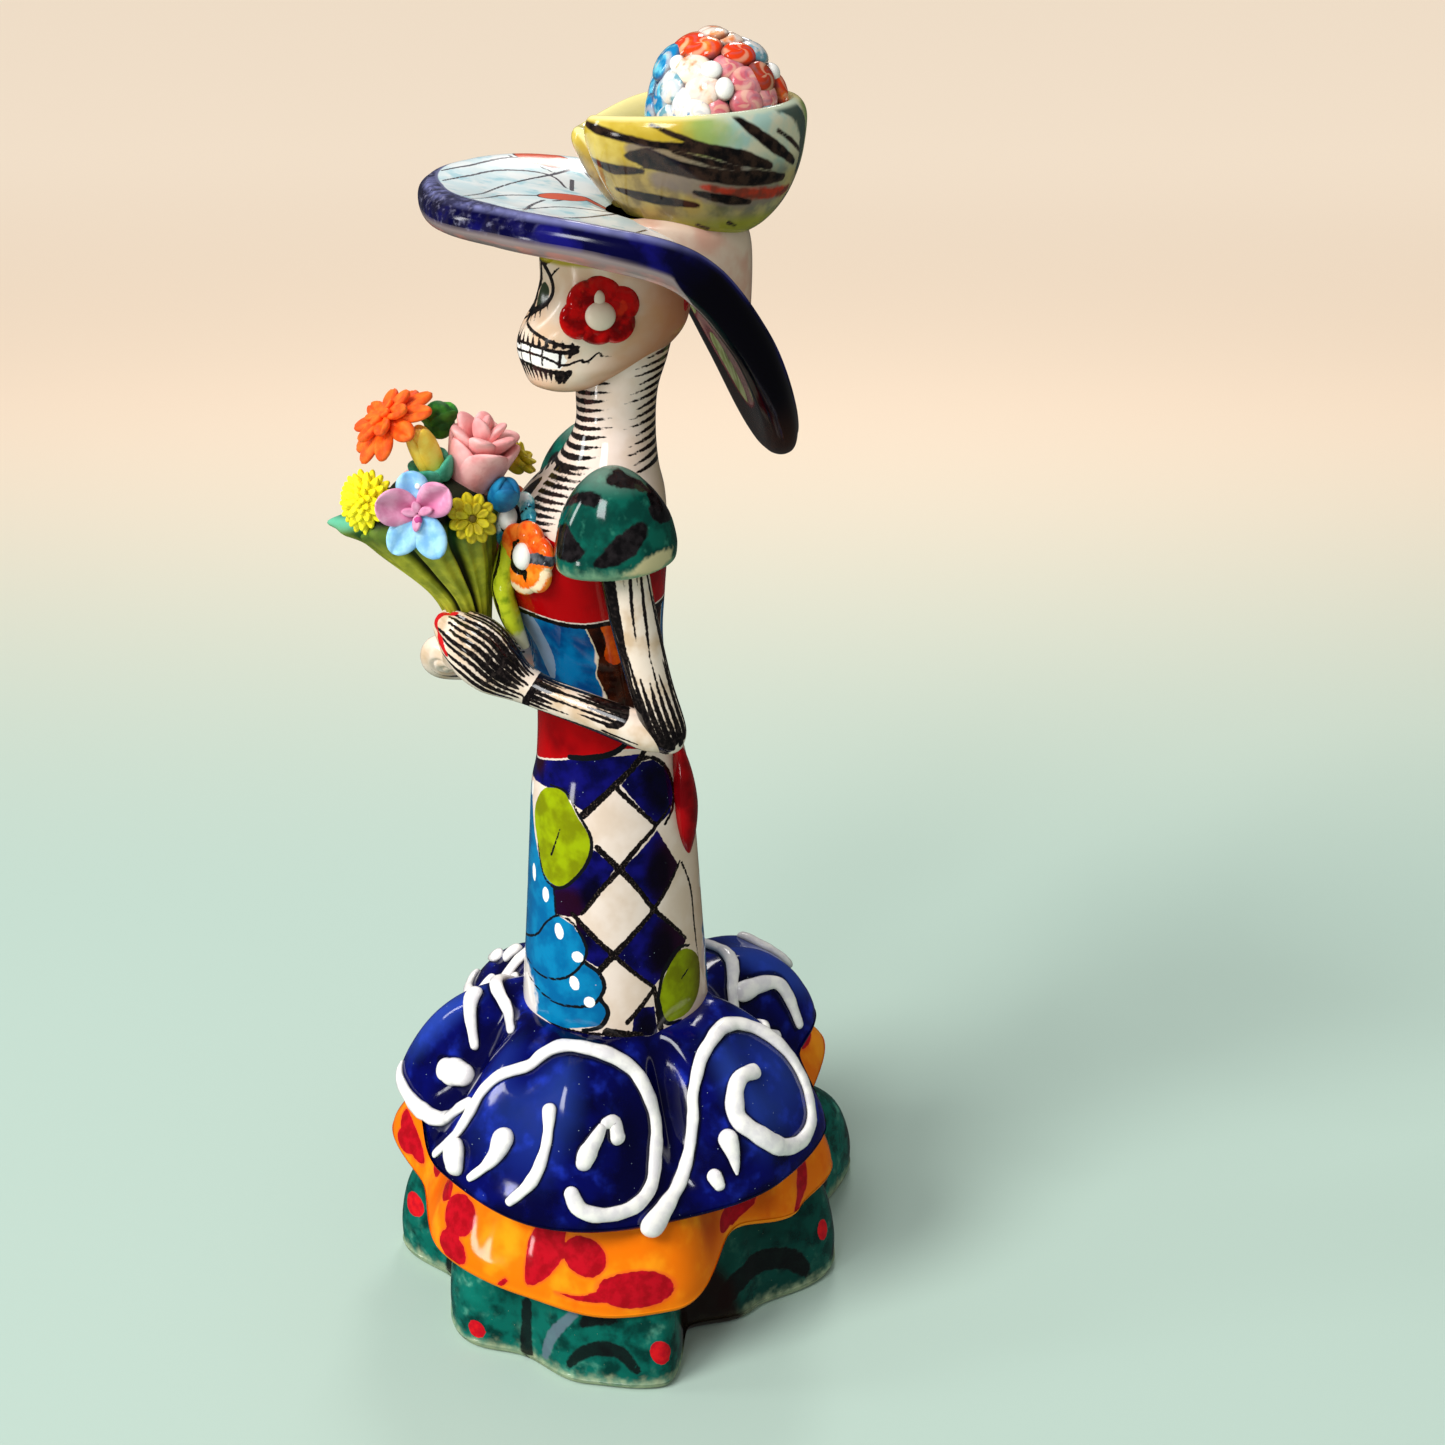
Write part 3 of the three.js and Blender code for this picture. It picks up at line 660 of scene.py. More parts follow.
SLIP = [
    [[(-67, .88), (-61, .69), (-59, .54), (-58.5, .41), (-55, .29), (-47, .18), (-44, .12), (-38, .07),
      (-28, .055), (-14, .065), (-3, .11), (2, .19), (5, .33), (3, .52), (0, .7), (-6, .82), (-14, .86),
      (-20, .83), (-22.5, .75)],
     .9, 1.4, 1.25, 1.6, 1.65, 1.6, 1.5, 1.5, 1.6, 1.7],
    [[(-1, .96), (4, .84), (9, .73), (15, .57), (19, .4), (21, .29), (27, .18), (35, .13), (45, .11),
      (54, .14), (60, .24), (62, .42), (61, .58), (58, .7), (54, .8), (47, .83), (39, .77), (33, .63),
      (30, .51), (32, .4), (36, .35), (43, .36)],
     2.6, 1.6, 1.35, 1.25, 1.4, 1.8, 1.7, 1.5, 1.4, 1.6, 2.1, 2.0, 1.9, 1.7],
    [[(-58.5, .77), (-57, .84)], 2.7, 2.4],
    [[(-44, .57), (-45, .66), (-47.5, .75), (-51.5, .86)], 2.4, 1.9, 1.2, .8],
    [[(-32, .36), (-31, .46), (-31, .57), (-33, .72), (-38.5, .87)], 1.5, 1.1, 1.2, 1.4, 1.0],
    [[(-20, .58), (-19, .52), (-15.5, .4)], 1.7, 2.0, 1.2],
    [[(-14, .37), (-11.5, .36), (-10.5, .43)], 1.2, 1.5, 1.8],
    [[(26, .59), (26, .68), (25.5, .79)], 2.1, 1.5, .35],
    [[(20, .75), (20.5, .81)], 1.6, 1.2],
    [[(-103, .84), (-99, .9), (-90, .93), (-82, .84), (-75, .7), (-68, .6), (-62, .5)],
     .6, 1.6, 1.9, 1.9, 1.8, 1.6, 1.2],
    [[(-90, .55), (-87, .5), (-84, .46)], 2.6, 3.2, 2.6],
    [[(-102, .17), (-96, .23), (-89, .31)], 1.9, 1.5, 1.0],
    [[(-131, .18), (-114, .1), (-92, .065), (-69, .09)], 1.6, 1.5, 1.4, 1.1],
    [[(-144, .22), (-142, .27)], 1.7, 1.6],
    [[(-136, .46), (-134, .6)], 1.2, 1.3],
    [[(128, .05), (113, .09), (93, .12), (84, .2), (72, .26), (60, .26)], 1.4, 1.6, 1.4, 1.2, .9],
    [[(121, .34), (113, .44), (111, .6), (116, .76)], 1.4, 1.7, 1.6, 1.3],
    [[(91, .2), (94, .28), (96, .4), (95, .54), (92, .77)], 2.3, 2.0, 1.6, 1.5, 1.1],
    [[(85.5, .56), (86.5, .62)], 1.7, 1.4],
]


def hidden_slip():
    """Arches, drops and commas that carry the same hand round the back."""
    lines = []
    for middle in (150, 184, 214):
        arch = [(middle - 20, .9), (middle - 16, .5), (middle - 8, .16), (middle + 3, .1), (middle + 13, .3),
                (middle + 15, .6), (middle + 9, .82), (middle + 1, .84)]
        lines.append([arch, .9, 1.4, 1.6, 1.6, 1.5, 1.5])
        lines.append([[(middle + 2, .42), (middle, .54), (middle - 6, .72)], 1.8, 1.3, .5])
        lines.append([[(middle + 22, .72), (middle + 22.5, .79)], 1.5, 1.2])
    return lines


BEAD_LIFT = 0.35  # of a bead's half width, its middle above the glaze
BEAD_FLAT = 0.62  # of its half width, its height


def bead(kind, path, halves):
    """A bead of slip along a line on a flounce: flat, half sunk, with round ends."""
    count = max(8, 5 * (len(path) - 1) + 1)
    line = smooth(path, np.linspace(0, len(path) - 1, count))
    spine = flounce_at(kind, line[:, 0], line[:, 1])
    right = flounce_at(kind, line[:, 0] + 0.4, line[:, 1]) - flounce_at(kind, line[:, 0] - 0.4, line[:, 1])
    under = flounce_at(kind, line[:, 0], line[:, 1] + 0.01) - flounce_at(kind, line[:, 0], line[:, 1] - 0.01)
    normal = np.cross(under, right)
    normal /= np.linalg.norm(normal, axis=1, keepdims=True)
    along = np.gradient(spine, axis=0)
    travel = lengths_along(spine)
    along /= np.linalg.norm(along, axis=1, keepdims=True)
    side = np.cross(along, normal)
    side /= np.linalg.norm(side, axis=1, keepdims=True)
    size = np.interp(np.linspace(0, 1, count), np.linspace(0, 1, len(halves)), halves)
    size *= 1.1 + 0.045 * np.sin(travel * 1.2) + 0.05 * np.sin(travel * 0.47 + 1)
    quarter = np.linspace(0, math.pi / 2, 7)[:-1]
    bulge, pull = np.sin(quarter), np.cos(quarter)
    angle = TURN * turns(14)[:, None]

    def ring(i, radius, shift):
        middle = spine[i] + along[i] * shift + normal[i] * (BEAD_LIFT * radius)
        return middle + radius * (np.cos(angle) * side[i] + BEAD_FLAT * np.sin(angle) * normal[i])

    rings = [ring(0, max(size[0] * b, 1e-3), -size[0] * p) for b, p in zip(bulge, pull)]
    rings += [ring(i, size[i], 0.0) for i in range(count)]
    rings += [ring(count - 1, max(size[-1] * b, 1e-3), size[-1] * p) for b, p in zip(bulge[::-1], pull[::-1])]
    grid = np.array(rings)
    grid[0] = grid[0].mean(0)
    grid[-1] = grid[-1].mean(0)
    return grid, {}


def build_blue():
    """The highest flounce, cobalt, and the white slip on it."""
    grid, chart, _, down, fold = flounce("blue", THIN_EDGE, 380, [6, 16, 16, 15, 10, 6, 3], BLUE_SPAN)
    lines = SLIP + hidden_slip()
    fields = {
        # Painted shade in a dark ring round each slip bead
        "halo": chart.strokes(scaled(lines, BLUE_SPAN), grow=0.35),
        "fold": fold,
        "rim": (1.0 - down) * BLUE_SPAN,
    }
    look = Look("cobalt_glaze", 0.1, bump=0.05, bump_size=5.0)
    colour = look.mottled((3, 7, 84), (24, 44, 164), 6.0, 0.48, 0.76, 4.0)
    colour = look.mottled(colour, (2, 2, 46), 11.0, 0.58, 0.38, 4.0, share=0.95)
    # Painted highlight on the swells of the folds, and painted shade in their creases
    colour = look.tint(colour, "fold", (52, 86, 196), 0.8, 4.2, 0.5)
    colour = look.tint(colour, "fold", (2, 2, 46), -0.4, -3.0, 0.85)
    colour = look.tint(colour, "rim", INK, 5.0, 0.5, 0.7)
    # Painted shade round the raised slip beads
    colour = look.mix(look.mask("halo", 0.1, soft=0.35), colour, INK, 0.8)
    colour = look.mix(look.specks(1.3, 0.3), colour, PALE_BLUE, 0.6)
    piece("blue_flounce", [closed(grid, fields)], look.done(colour))
    white = Look("white_slip", 0.14, bump=0.03, bump_size=3.0)
    shade = white.mottled(WHITE, (226, 222, 224), 3.0)
    piece("slip_scrolls", [bead("blue", path, halves) for path, *halves in lines], white.done(shade))


def build_orange():
    """The middle flounce, orange with crimson spots and leaves."""
    grid, chart, _, down, fold = flounce("orange", THIN_EDGE, 350, [6, 14, 16, 12], ORANGE_SPAN)
    blobs = [
        (-101, .74, 7.0, 2.9, 20), (-71, .57, 3.1, 2.7, 0), (-61.5, .64, 5.1, 4.7, -15),
        (-61, .87, 4.9, 3.6, 10), (-20, .6, 5.3, 4.0, 12), (-6, .8, 9.0, 4.0, 3),
        (31, .79, 3.4, 3.2, 10), (92, .66, 2.6, 3.2, 0), (112, .6, 3.4, 2.4, 20),
        (128, .8, 2.6, 3.4, 0),
    ]
    for k in range(9):
        blobs.append((150 + 15.5 * k, .62 + .2 * (k % 2), 2.8 + (k % 3) * .5, 3.2, 25 * (-1) ** k))
    leaves = [
        [[(-36, .87), (-34, .76), (-32, .62), (-30, .4)], .5, 2.9, 4.4, 3.3],
        [[(-28, .87), (-20, .86), (-11, .8)], .25, .6, 2.2],
        [[(34, .88), (40, .72), (46, .5)], .8, 2.8, 2.0],
        [[(55, .95), (61, .81), (66, .64)], .6, 2.6, 1.4],
        [[(-46, .99), (-43, .9)], .3, .7],
    ]
    fields = {
        "berry": most(chart.ovals(scaled(blobs, ORANGE_SPAN)), chart.strokes(scaled(leaves, ORANGE_SPAN))),
        "fold": fold,
        "rim": (1.0 - down) * ORANGE_SPAN,
    }
    look = Look("orange_glaze", 0.1, bump=0.04, bump_size=5.0)
    colour = look.mottled(ORANGE, AMBER, 9.0, 0.45, 0.72)
    colour = look.mottled(colour, (226, 84, 2), 6.0, 0.55, 0.75, 4.0, (1, 1, 0.4), 0.5)
    # Painted shade in the creases of the folds
    colour = look.tint(colour, "fold", (178, 54, 2), -0.3, -2.0, 0.7)
    colour = look.tint(colour, "rim", AMBER, 3.2, 0.6, 0.45)
    berry = look.mottled(CRIMSON, (158, 8, 22), 2.2)
    colour = look.tint(colour, "berry", VERMILION, -0.7, 0.0, 0.55)
    colour = look.over(colour, "berry", berry, wobble=0.16, size=1.6)
    piece("orange_flounce", [closed(grid, fields)], look.done(colour))


def build_green():
    """The lowest flounce, green, and paler at the hem that she stands on, from wear and a painted sheen."""
    grid, chart, degrees, down, fold = flounce("green", FOOT_EDGE, 350, [6, 14, 16, 12], GREEN_SPAN)
    dots = [
        (-55, .83, 2.3, 2.5), (0, .7, 2.4, 3.3, -25), (-101, .53, 2.8, 3.2),
        (66, .58, 1.9, 2.8), (116, .5, 2.2, 3.0), (128, .75, 2.2, 2.4),
    ]
    dots += [(157 + 24 * k, .5 + .22 * (k % 2), 2.2, 2.6) for k in range(4)]
    arcs = [
        [[(-25, .86), (-21, .73), (-15, .67), (-10, .7), (-6, .84)],
         .8, 1.6, 1.9, 1.8, .9],
        [[(-20, .49), (-12, .45)], 1.4, .9],
        [[(-40, .97), (-40.5, .5)], 1.9, 1.4],
        [[(31, .8), (36, .64), (46, .58), (55, .66), (60, .86)],
         1.6, 3.0, 3.4, 2.6, 1.0],
        [[(96, .8), (100, .5)], 1.6, 1.0], [[(-88, .9), (-86, .4)], 2.2, 1.6],
    ]
    arcs += [[[(a - 7, .8), (a, .58), (a + 7, .8)], 1.0, 1.8, 1.0] for a in (140, 175, 208, 232)]
    # A grey arc painted as a reflection in the glaze
    slate = [[[(-33, .86), (-30, .66), (-23, .44)], 1.2, 1.5, 1.0]]
    # Painted shade deep in the hollow between the lobes, near 24 degrees
    gulf = bell(wrapped(degrees) - 24 + 9 * (1 - down), 15.0) * np.clip(down * 1.6, 0, 1)
    fields = {
        "dots": chart.ovals(scaled(dots, GREEN_SPAN)), "arcs": chart.strokes(scaled(arcs, GREEN_SPAN)),
        "slate": chart.strokes(scaled(slate, GREEN_SPAN)), "fold": fold,
        "rim": grid[..., 2], "gulf": gulf, "dusk": bell(wrapped(degrees) - 50, 30),
    }
    look = Look("green_glaze", 0.12, bump=0.05, bump_size=5.0)
    colour = look.mottled((2, 52, 46), (6, 96, 84), 5.0, 0.35, 0.6, 4.0)
    pale = look.mottled((10, 110, 96), (96, 168, 144), 3.2, 0.46, 0.76, 5.0)
    colour = look.mottled(colour, pale, 9.0, 0.46, 0.66, 4.0, share=0.9)
    # Painted shade in the creases of the folds
    colour = look.tint(colour, "fold", CREASE_SHADE_TEAL, -0.4, -1.6, 0.6)
    # Painted shade on the side turned away from the light
    colour = look.mix(look.attribute("dusk"), colour, (6, 36, 34), 0.75)
    colour = look.mix(look.specks(1.0, 0.3), colour, MOSS, 0.5)
    # Paler towards the hem: wear, with a painted sheen
    wear_and_sheen = look.ragged("rim", 2.5, 4.0, 6.0)
    colour = look.mix(look.ramp(wear_and_sheen, 8.0, 3.0, 0.0, 0.85), colour, MOSS)
    # The painted reflection, a grey arc
    colour = look.mix(look.mask("slate", 0.2, 1.5, 0.3), colour, (96, 112, 126), 0.8)
    colour = look.mix(look.mask("arcs", 0.3, 1.5, 0.35), colour, (16, 14, 16), 0.92)
    # Painted shade in the deep hollow
    colour = look.tint(colour, "gulf", (30, 12, 10), 0.3, 0.6, 0.95)
    colour = look.over(colour, "dots", look.mottled((214, 22, 30), CRIMSON, 2.0), wobble=0.08)
    piece("green_flounce", [closed(grid, fields)], look.done(colour))


build_green()
build_orange()
build_blue()

# The skirt: diamonds, ovals and lobes. Places are degrees round and heights.

BACK_TURN = 172  # degrees from the painting that shows to its repeat behind
BELT_HEIGHT = 150.5  # where the skirt and the bodice meet
SKIRT_DEGREE = 0.37  # millimetres in a degree of the skirt

NAVY_CELLS = [
    [(-170, 138.5), (-176, 145), (-168, 151.4), (-120, 151), (-16, 149), (21, 148.7), (-7, 141.9),
     (-28, 135.6), (-40, 138), (-60, 139.2), (-110, 138)],
    [(-2, 142.1), (9, 145.3), (17, 146.8), (27, 146.6), (38, 143), (42, 138), (36, 133), (23, 131.3)],
    [(23, 130.2), (40, 119.4), (17, 111.4), (-4, 122.4)],
    [(17, 110.6), (43, 99.8), (14, 91.5), (-9.5, 100.9)],
    [(-22, 127), (-8, 123), (-28, 111.4), (-36, 109.6), (-54, 108.8), (-60, 120)],
    [(-36, 110), (-11, 100.7), (-20, 97.5), (-30, 99.6), (-34, 105.6)],
    [(5, 87), (14, 86.3), (16, 79), (-1, 79), (1, 84.4)],
]
LATTICE = [
    [[(-30, 134.8), (-7, 141.9), (8, 145.6), (22, 149.6)], .9, .75, .7, .6],
    [[(-7, 141.9), (7, 137.1), (23, 131.3)], .6, .55, .5],
    [[(36, 134.6), (23, 131.3), (8, 127.3), (-5, 122.5), (-18, 117.3), (-31, 110.7)],
     .3, .5, .6, .75, .6, .45],
    [[(-20, 127.6), (-5, 122.2), (7, 116.7), (17, 111.1), (32, 104.9), (43, 100.2)], .7, .8, .6, .6, .5, .35],
    [[(41, 120.3), (17, 111.1), (3, 106), (-10, 101), (-20, 96.6)], .4, .6, .7, .8, .75],
    [[(-38, 110.4), (-26, 106.4), (-11, 101), (2, 96), (15, 91.1)], .6, .75, .65, .55, .5],
    [[(15, 91.1), (6, 87.1), (-3, 83.3)], .5, .6, .65],
    [[(-2, 142.4), (9, 145.9), (18, 147.3), (28, 146.8), (38, 143.5), (42, 138), (38, 133.5), (30, 131)],
     .3, .4, .5, .5, .4],
    [[(-15, 80.9), (4, 79.6)], 1.2, 1.0],
    [[(15, 91), (18, 80)], .5, .8],
    [[(43, 120), (52, 112), (54, 101), (56, 92)], .3, .4, .35, .3],
    [[(-64, 81.4), (-41, 79.9), (-20, 80.2)], .5, .7, .6],
]
LIME_PATCHES = [
    [(-72, 124), (-79, 131), (-70, 137.4), (-58, 139.5), (-45, 139.3), (-34, 134.6), (-25, 129.6),
     (-28, 124.1), (-40, 118.2), (-52, 116.2), (-64, 118)],
    [(34, 97.8), (45, 97), (56, 92.7), (56, 86.2), (46, 82), (33, 80.8), (21, 82), (18, 87.8), (23, 93.6)],
]
LOBES = [
    [(-58, 118), (-53, 114.9), (-51, 108.8), (-66, 101), (-92, 96), (-122, 100), (-126, 130), (-108, 138),
     (-88, 136), (-78, 126), (-70, 121)],
    [(-67, 102.5), (-58, 107), (-48, 108.8), (-37, 107.5), (-29, 103), (-29, 99), (-38, 94.3), (-60, 90.5),
     (-100, 88), (-104, 98)],
    [(-30, 98.5), (-21, 96.6), (-17, 93), (-20, 89.6), (-29, 86.8), (-50, 84.6), (-100, 84), (-104, 90),
     (-60, 92)],
    [(-19, 89.6), (-15, 86), (-20, 82.6), (-41, 80.4), (-64, 80.4), (-100, 80), (-104, 86), (-50, 87),
     (-28, 87.8)],
]
LOBE_LINES = [
    [[(-104, 95), (-72, 100.4), (-60, 105.6), (-48, 109), (-36, 107.5), (-28, 102.3), (-31, 98), (-42, 93.6),
      (-60, 91.4), (-84, 92)], .35, .3, .4, .35, .3],
    [[(-28, 98.3), (-20, 96.3), (-16.5, 92.8), (-20, 89.6), (-27, 87.4), (-50, 86.2), (-80, 88.4)],
     .55, .5, .4, .3],
    [[(-19, 89.4), (-14.5, 86.3), (-19, 82.4), (-30, 80.8)], .5, .6, .5],
    [[(-72, 124), (-64, 117.5), (-52, 115.6), (-40, 117.8), (-27, 123.8), (-24, 129.6), (-33, 135),
      (-44, 139.6), (-60, 140)], .3, .35, .4, .45, .4, .3, .25],
    [[(-56, 123.4), (-48, 130.4)], .3, .16],
    [[(-53, 115), (-51, 108.8)], .3, .3],
    [[(17, 88), (22, 94.5), (34, 98.8), (46, 97.8)], .45, .55, .5, .35],
    [[(17, 88), (21, 81.4), (33, 80)], .5, .55, .5],
    [[(36, 90.8), (44, 92.4)], .3, .2],
]
SKIRT_DOTS = [
    (-77, 116.1, 1.0, 2.2, 8), (-61, 112.7, 1.2, 1.9), (-48, 104.9, 1.3, 2.0, 12), (-34, 99.6, 1.5, 1.4),
    (-36, 92.7, 1.3, 1.8, 15), (-26, 88.5, 1.4, 1.4), (-88, 136, 1.2, 1.8), (-98, 110, 1.3, 2),
]


def dress_look():
    """The glaze of the skirt and the bodice, from the ground up to the finest lines."""
    look = Look("dress_glaze", 0.09, bump=0.02, bump_size=6.0)
    colour = look.mottled((232, 214, 202), (220, 198, 180), 8.0)
    colour = look.mix(look.attribute("shade"), colour, (192, 152, 116), 0.55)
    dark = look.mottled((4, 4, 56), (13, 12, 100), 4.0)
    dark = look.mottled(dark, INK, 7.0, 0.55, 0.75, 3.0, share=0.7)
    dark = look.tint(dark, "plum", PLUM, 0.15, 0.75, 0.95)
    dark = look.tint(dark, "pitch", (3, 1, 14), 0.1, 0.8, 0.9)
    dark = look.mix(look.specks(1.2, 0.3), dark, PALE_BLUE, 0.6)
    colour = look.over(colour, "navy", dark, wobble=0.14, size=1.4)
    stroke = look.mottled(BLACK, (84, 70, 62), 0.4, 0.56, 0.72, 2.0)
    colour = look.over(colour, "black", stroke, wobble=0.16, size=0.9)
    lobe = look.mottled((2, 96, 150), (8, 124, 174), 5.0)
    colour = look.over(colour, "lobe", lobe, wobble=0.1, size=1.5)
    # A painted highlight: a pale patch low on the front lobes
    colour = look.over(colour, "faded", (224, 216, 212), wobble=1.2, size=2.4, soft=1.0)
    lime = look.mottled((150, 168, 6), (120, 128, 4), 5.0)
    lime = look.mix(look.attribute("shade"), lime, (78, 62, 2))
    colour = look.over(colour, "lime", lime, wobble=0.1, size=1.5)
    waist = look.mottled((4, 104, 158), (3, 62, 118), 5.0, detail=4.0)
    colour = look.tint(colour, "waist", waist, -0.4, 0.1)
    colour = look.over(colour, "edge", (206, 188, 160), wobble=0.15)
    colour = look.over(colour, "brown", look.mottled((26, 9, 6), (60, 22, 8), 3.0), wobble=0.15)
    colour = look.over(colour, "orange", look.mottled((206, 84, 10), (176, 54, 6), 3.0), wobble=0.15)
    # A painted reflection: a grey patch on the front of the waist
    colour = look.mix(look.mask("grey"), colour, (150, 160, 172), 0.6)
    colour = look.over(colour, "wide", BLACK, wobble=0.18)
    colour = look.over(colour, "line", (224, 208, 196), wobble=0.1)
    red = look.mottled((174, 3, 8), (116, 1, 6), 13.0, 0.42, 0.75)
    colour = look.over(colour, "red", red, wobble=0.1)
    colour = look.over(colour, "fine", (16, 18, 22), wobble=0.08)
    colour = look.over(colour, "dots", WHITE, wobble=0.06)
    # Black rungs on the neck, and a black patch of painted shadow on the chest behind the bouquet
    colour = look.over(colour, "rungs", look.mottled(BLACK, SOOT, 0.8), wobble=0.12, size=0.6, soft=0.1)
    colour = look.mix(look.specks(2.0, 0.1), colour, (226, 190, 190), 0.5)
    return look.done(colour)


def build_dress():
    """The skirt, the bodice and the neck: one painted stack of ovals, in two pieces that meet in the belt."""
    steps = [4, 32, 34, 24, 14, 24, 22, 18, 16, 16, 14, 14, 16, 16, 14, 12]
    grid, chart, degrees, height = oval_stack(BODY, 270, steps)
    signed = wrapped(degrees)
    side = np.abs(signed + 90) - 90
    cells = NAVY_CELLS + repeated(NAVY_CELLS[1:], BACK_TURN)
    lattice = LATTICE + repeated(LATTICE[:8], BACK_TURN)
    limes = LIME_PATCHES + repeated(LIME_PATCHES, BACK_TURN)
    lobes = LOBES + repeated(LOBES[1:], BACK_TURN)
    foot = np.interp(signed, [-180, -88, -40, 5, 21, 60, 180], [146.5, 143.9, 148, 150.4, 149.6, 148, 146.5])
    top = np.interp(signed, [-180, -90, -43, -28, -12, 30, 180], [163, 163.4, 162.9, 162.4, 159.4, 159, 163])
    dash = [[[(-42, 148.0), (-24, 148.5), (-5, 149.7), (8, 152.0)], .6, .75, .7, .5],
            [[(140, 147.4), (170, 147.0), (195, 147.6)], .5, .7, .5]]
    rungs = []
    for k in range(13):
        z = 238.0 - 1.95 * k
        reach = -12 - 7 * ((k * 7) % 4) / 3 - max(0, k - 9) * 5
        rungs.append([[(-106, z - 1.0), (-60, z - 0.7), (reach, z + .2)], .4, .56 + .1 * (k % 2), .05])
    for k in range(9):
        z = 213.0 - 1.32 * k
        start = -82 + 2.6 * k
        rungs.append([[(start, z - .3), ((start - 34) / 2, z), (-33 - .7 * k, z + .3)], .46, .4, .1])
    for k in range(15):
        z = 240.0 - 1.85 * k
        tip = 2 + 14 * ((k * 5) % 3) / 2
        rungs.append([[(84, z + .6), (48, z), (tip, z - 1.3)], .46 + .02 * k, .5, .05])
    waist = [(-104, 184), (-66, 184), (-30, 183), (-10, 182.5), (-5, 179), (-11, 172), (-6, 168), (-9, 162),
             (-9, 157), (-104, 157)]
    brown = [(-13, 184.5), (10, 184.5), (62, 184), (62, 157), (-7, 157), (-4, 163), (-10.5, 168.7), (-6, 173),
             (-9, 178.5)]
    patch = [(3, 184.8), (9, 185.4), (14, 183), (13, 176), (12, 171.8), (5, 171), (-1.5, 173), (2, 177),
             (0, 181)]
    beyond = [(118, 184), (62, 184), (62, 157), (118, 157)]
    flip = mirrored([brown, patch, waist])
    bottom = 183.2 - 1.2 * bell(signed + 12, 26) + 0.6 * bell(signed + 60, 20)
    neckline = 203.5 - 5.5 * bell(side, 40)
    brown_field = most(chart.patch(brown), chart.patch(flip[0]))
    belt = both(height - foot, top - height)
    bust = both(height - bottom, neckline - height)

    def pools(places):
        """Soft spots of darker glaze: degrees, height, half width and half height."""
        return most(*[bell(chart.offset(a).reshape(chart.shape) * SKIRT_DEGREE, wide) * bell(height - z, tall)
                      for a, z, wide, tall in places])

    fields = {
        "navy": most(*[chart.patch(cell) for cell in cells]),
        "black": chart.strokes(lattice),
        "lime": most(*[chart.patch(p, True) for p in limes]),
        "lobe": most(*[chart.patch(p) for p in lobes]),
        # The painted highlight low on the front lobes
        "faded": chart.patch([(-104, 80), (-74, 79.6), (-66, 82), (-73, 88), (-84, 91), (-104, 92)], True),
        "fine": chart.strokes(LOBE_LINES + repeated(LOBE_LINES, BACK_TURN) + dash),
        "dots": chart.ovals(SKIRT_DOTS + repeated(SKIRT_DOTS, BACK_TURN)),
        "red": most(belt, bust),
        "line": most(both(height - foot + 0.45, foot - height + 0.3),
                     both(height - bottom + 0.35, bottom - height + 0.3)),
        "plum": pools([(-42, 111, 7, 7), (34, 120, 7, 10), (34, 100, 7, 10), (-82, 145, 5, 5)]),
        "pitch": pools([(27, 140, 5.5, 8), (22, 120, 4, 7), (22, 100, 4, 7), (-24, 116, 3.5, 5),
                        (-30, 104, 3, 3), (10, 82, 3, 4)]),
        "wide": both(height - bottom + 1.5, bottom - height),
        "waist": most(chart.patch(waist), chart.patch(flip[2]), chart.patch(beyond),
                      chart.ovals([(1, 164, 1.4, 1.6)])),
        "brown": brown_field,
        "edge": both(brown_field + 0.3, 185.0 - height, height - 150),
        "orange": most(chart.patch(patch, True), chart.patch(flip[1], True)),
        # The rungs, and a patch on the chest front behind the bouquet that is painted shadow
        "rungs": most(chart.strokes(rungs + mirrored(rungs)), chart.patch(
            [(-100, 201), (-83, 202.5), (-80, 206.5), (-86, 209.8), (-94, 209.8), (-100, 206.5)], True)),
        "shade": bell(signed - 68, 26),
        # The grey patch is a painted reflection on the waist
        "grey": chart.patch([(-72, 183), (-52, 182.5), (-48, 176), (-47, 170), (-53, 166), (-64, 172)], True),
    }
    cut = int(np.argmin(np.abs(height[:, 0] - BELT_HEIGHT)))
    material = dress_look()
    for name, rows in (("skirt", slice(0, cut + 1)), ("bodice", slice(cut, None))):
        piece(name, [closed(grid[rows], {k: v[rows] for k, v in fields.items()})], material)


build_dress()

# The skull

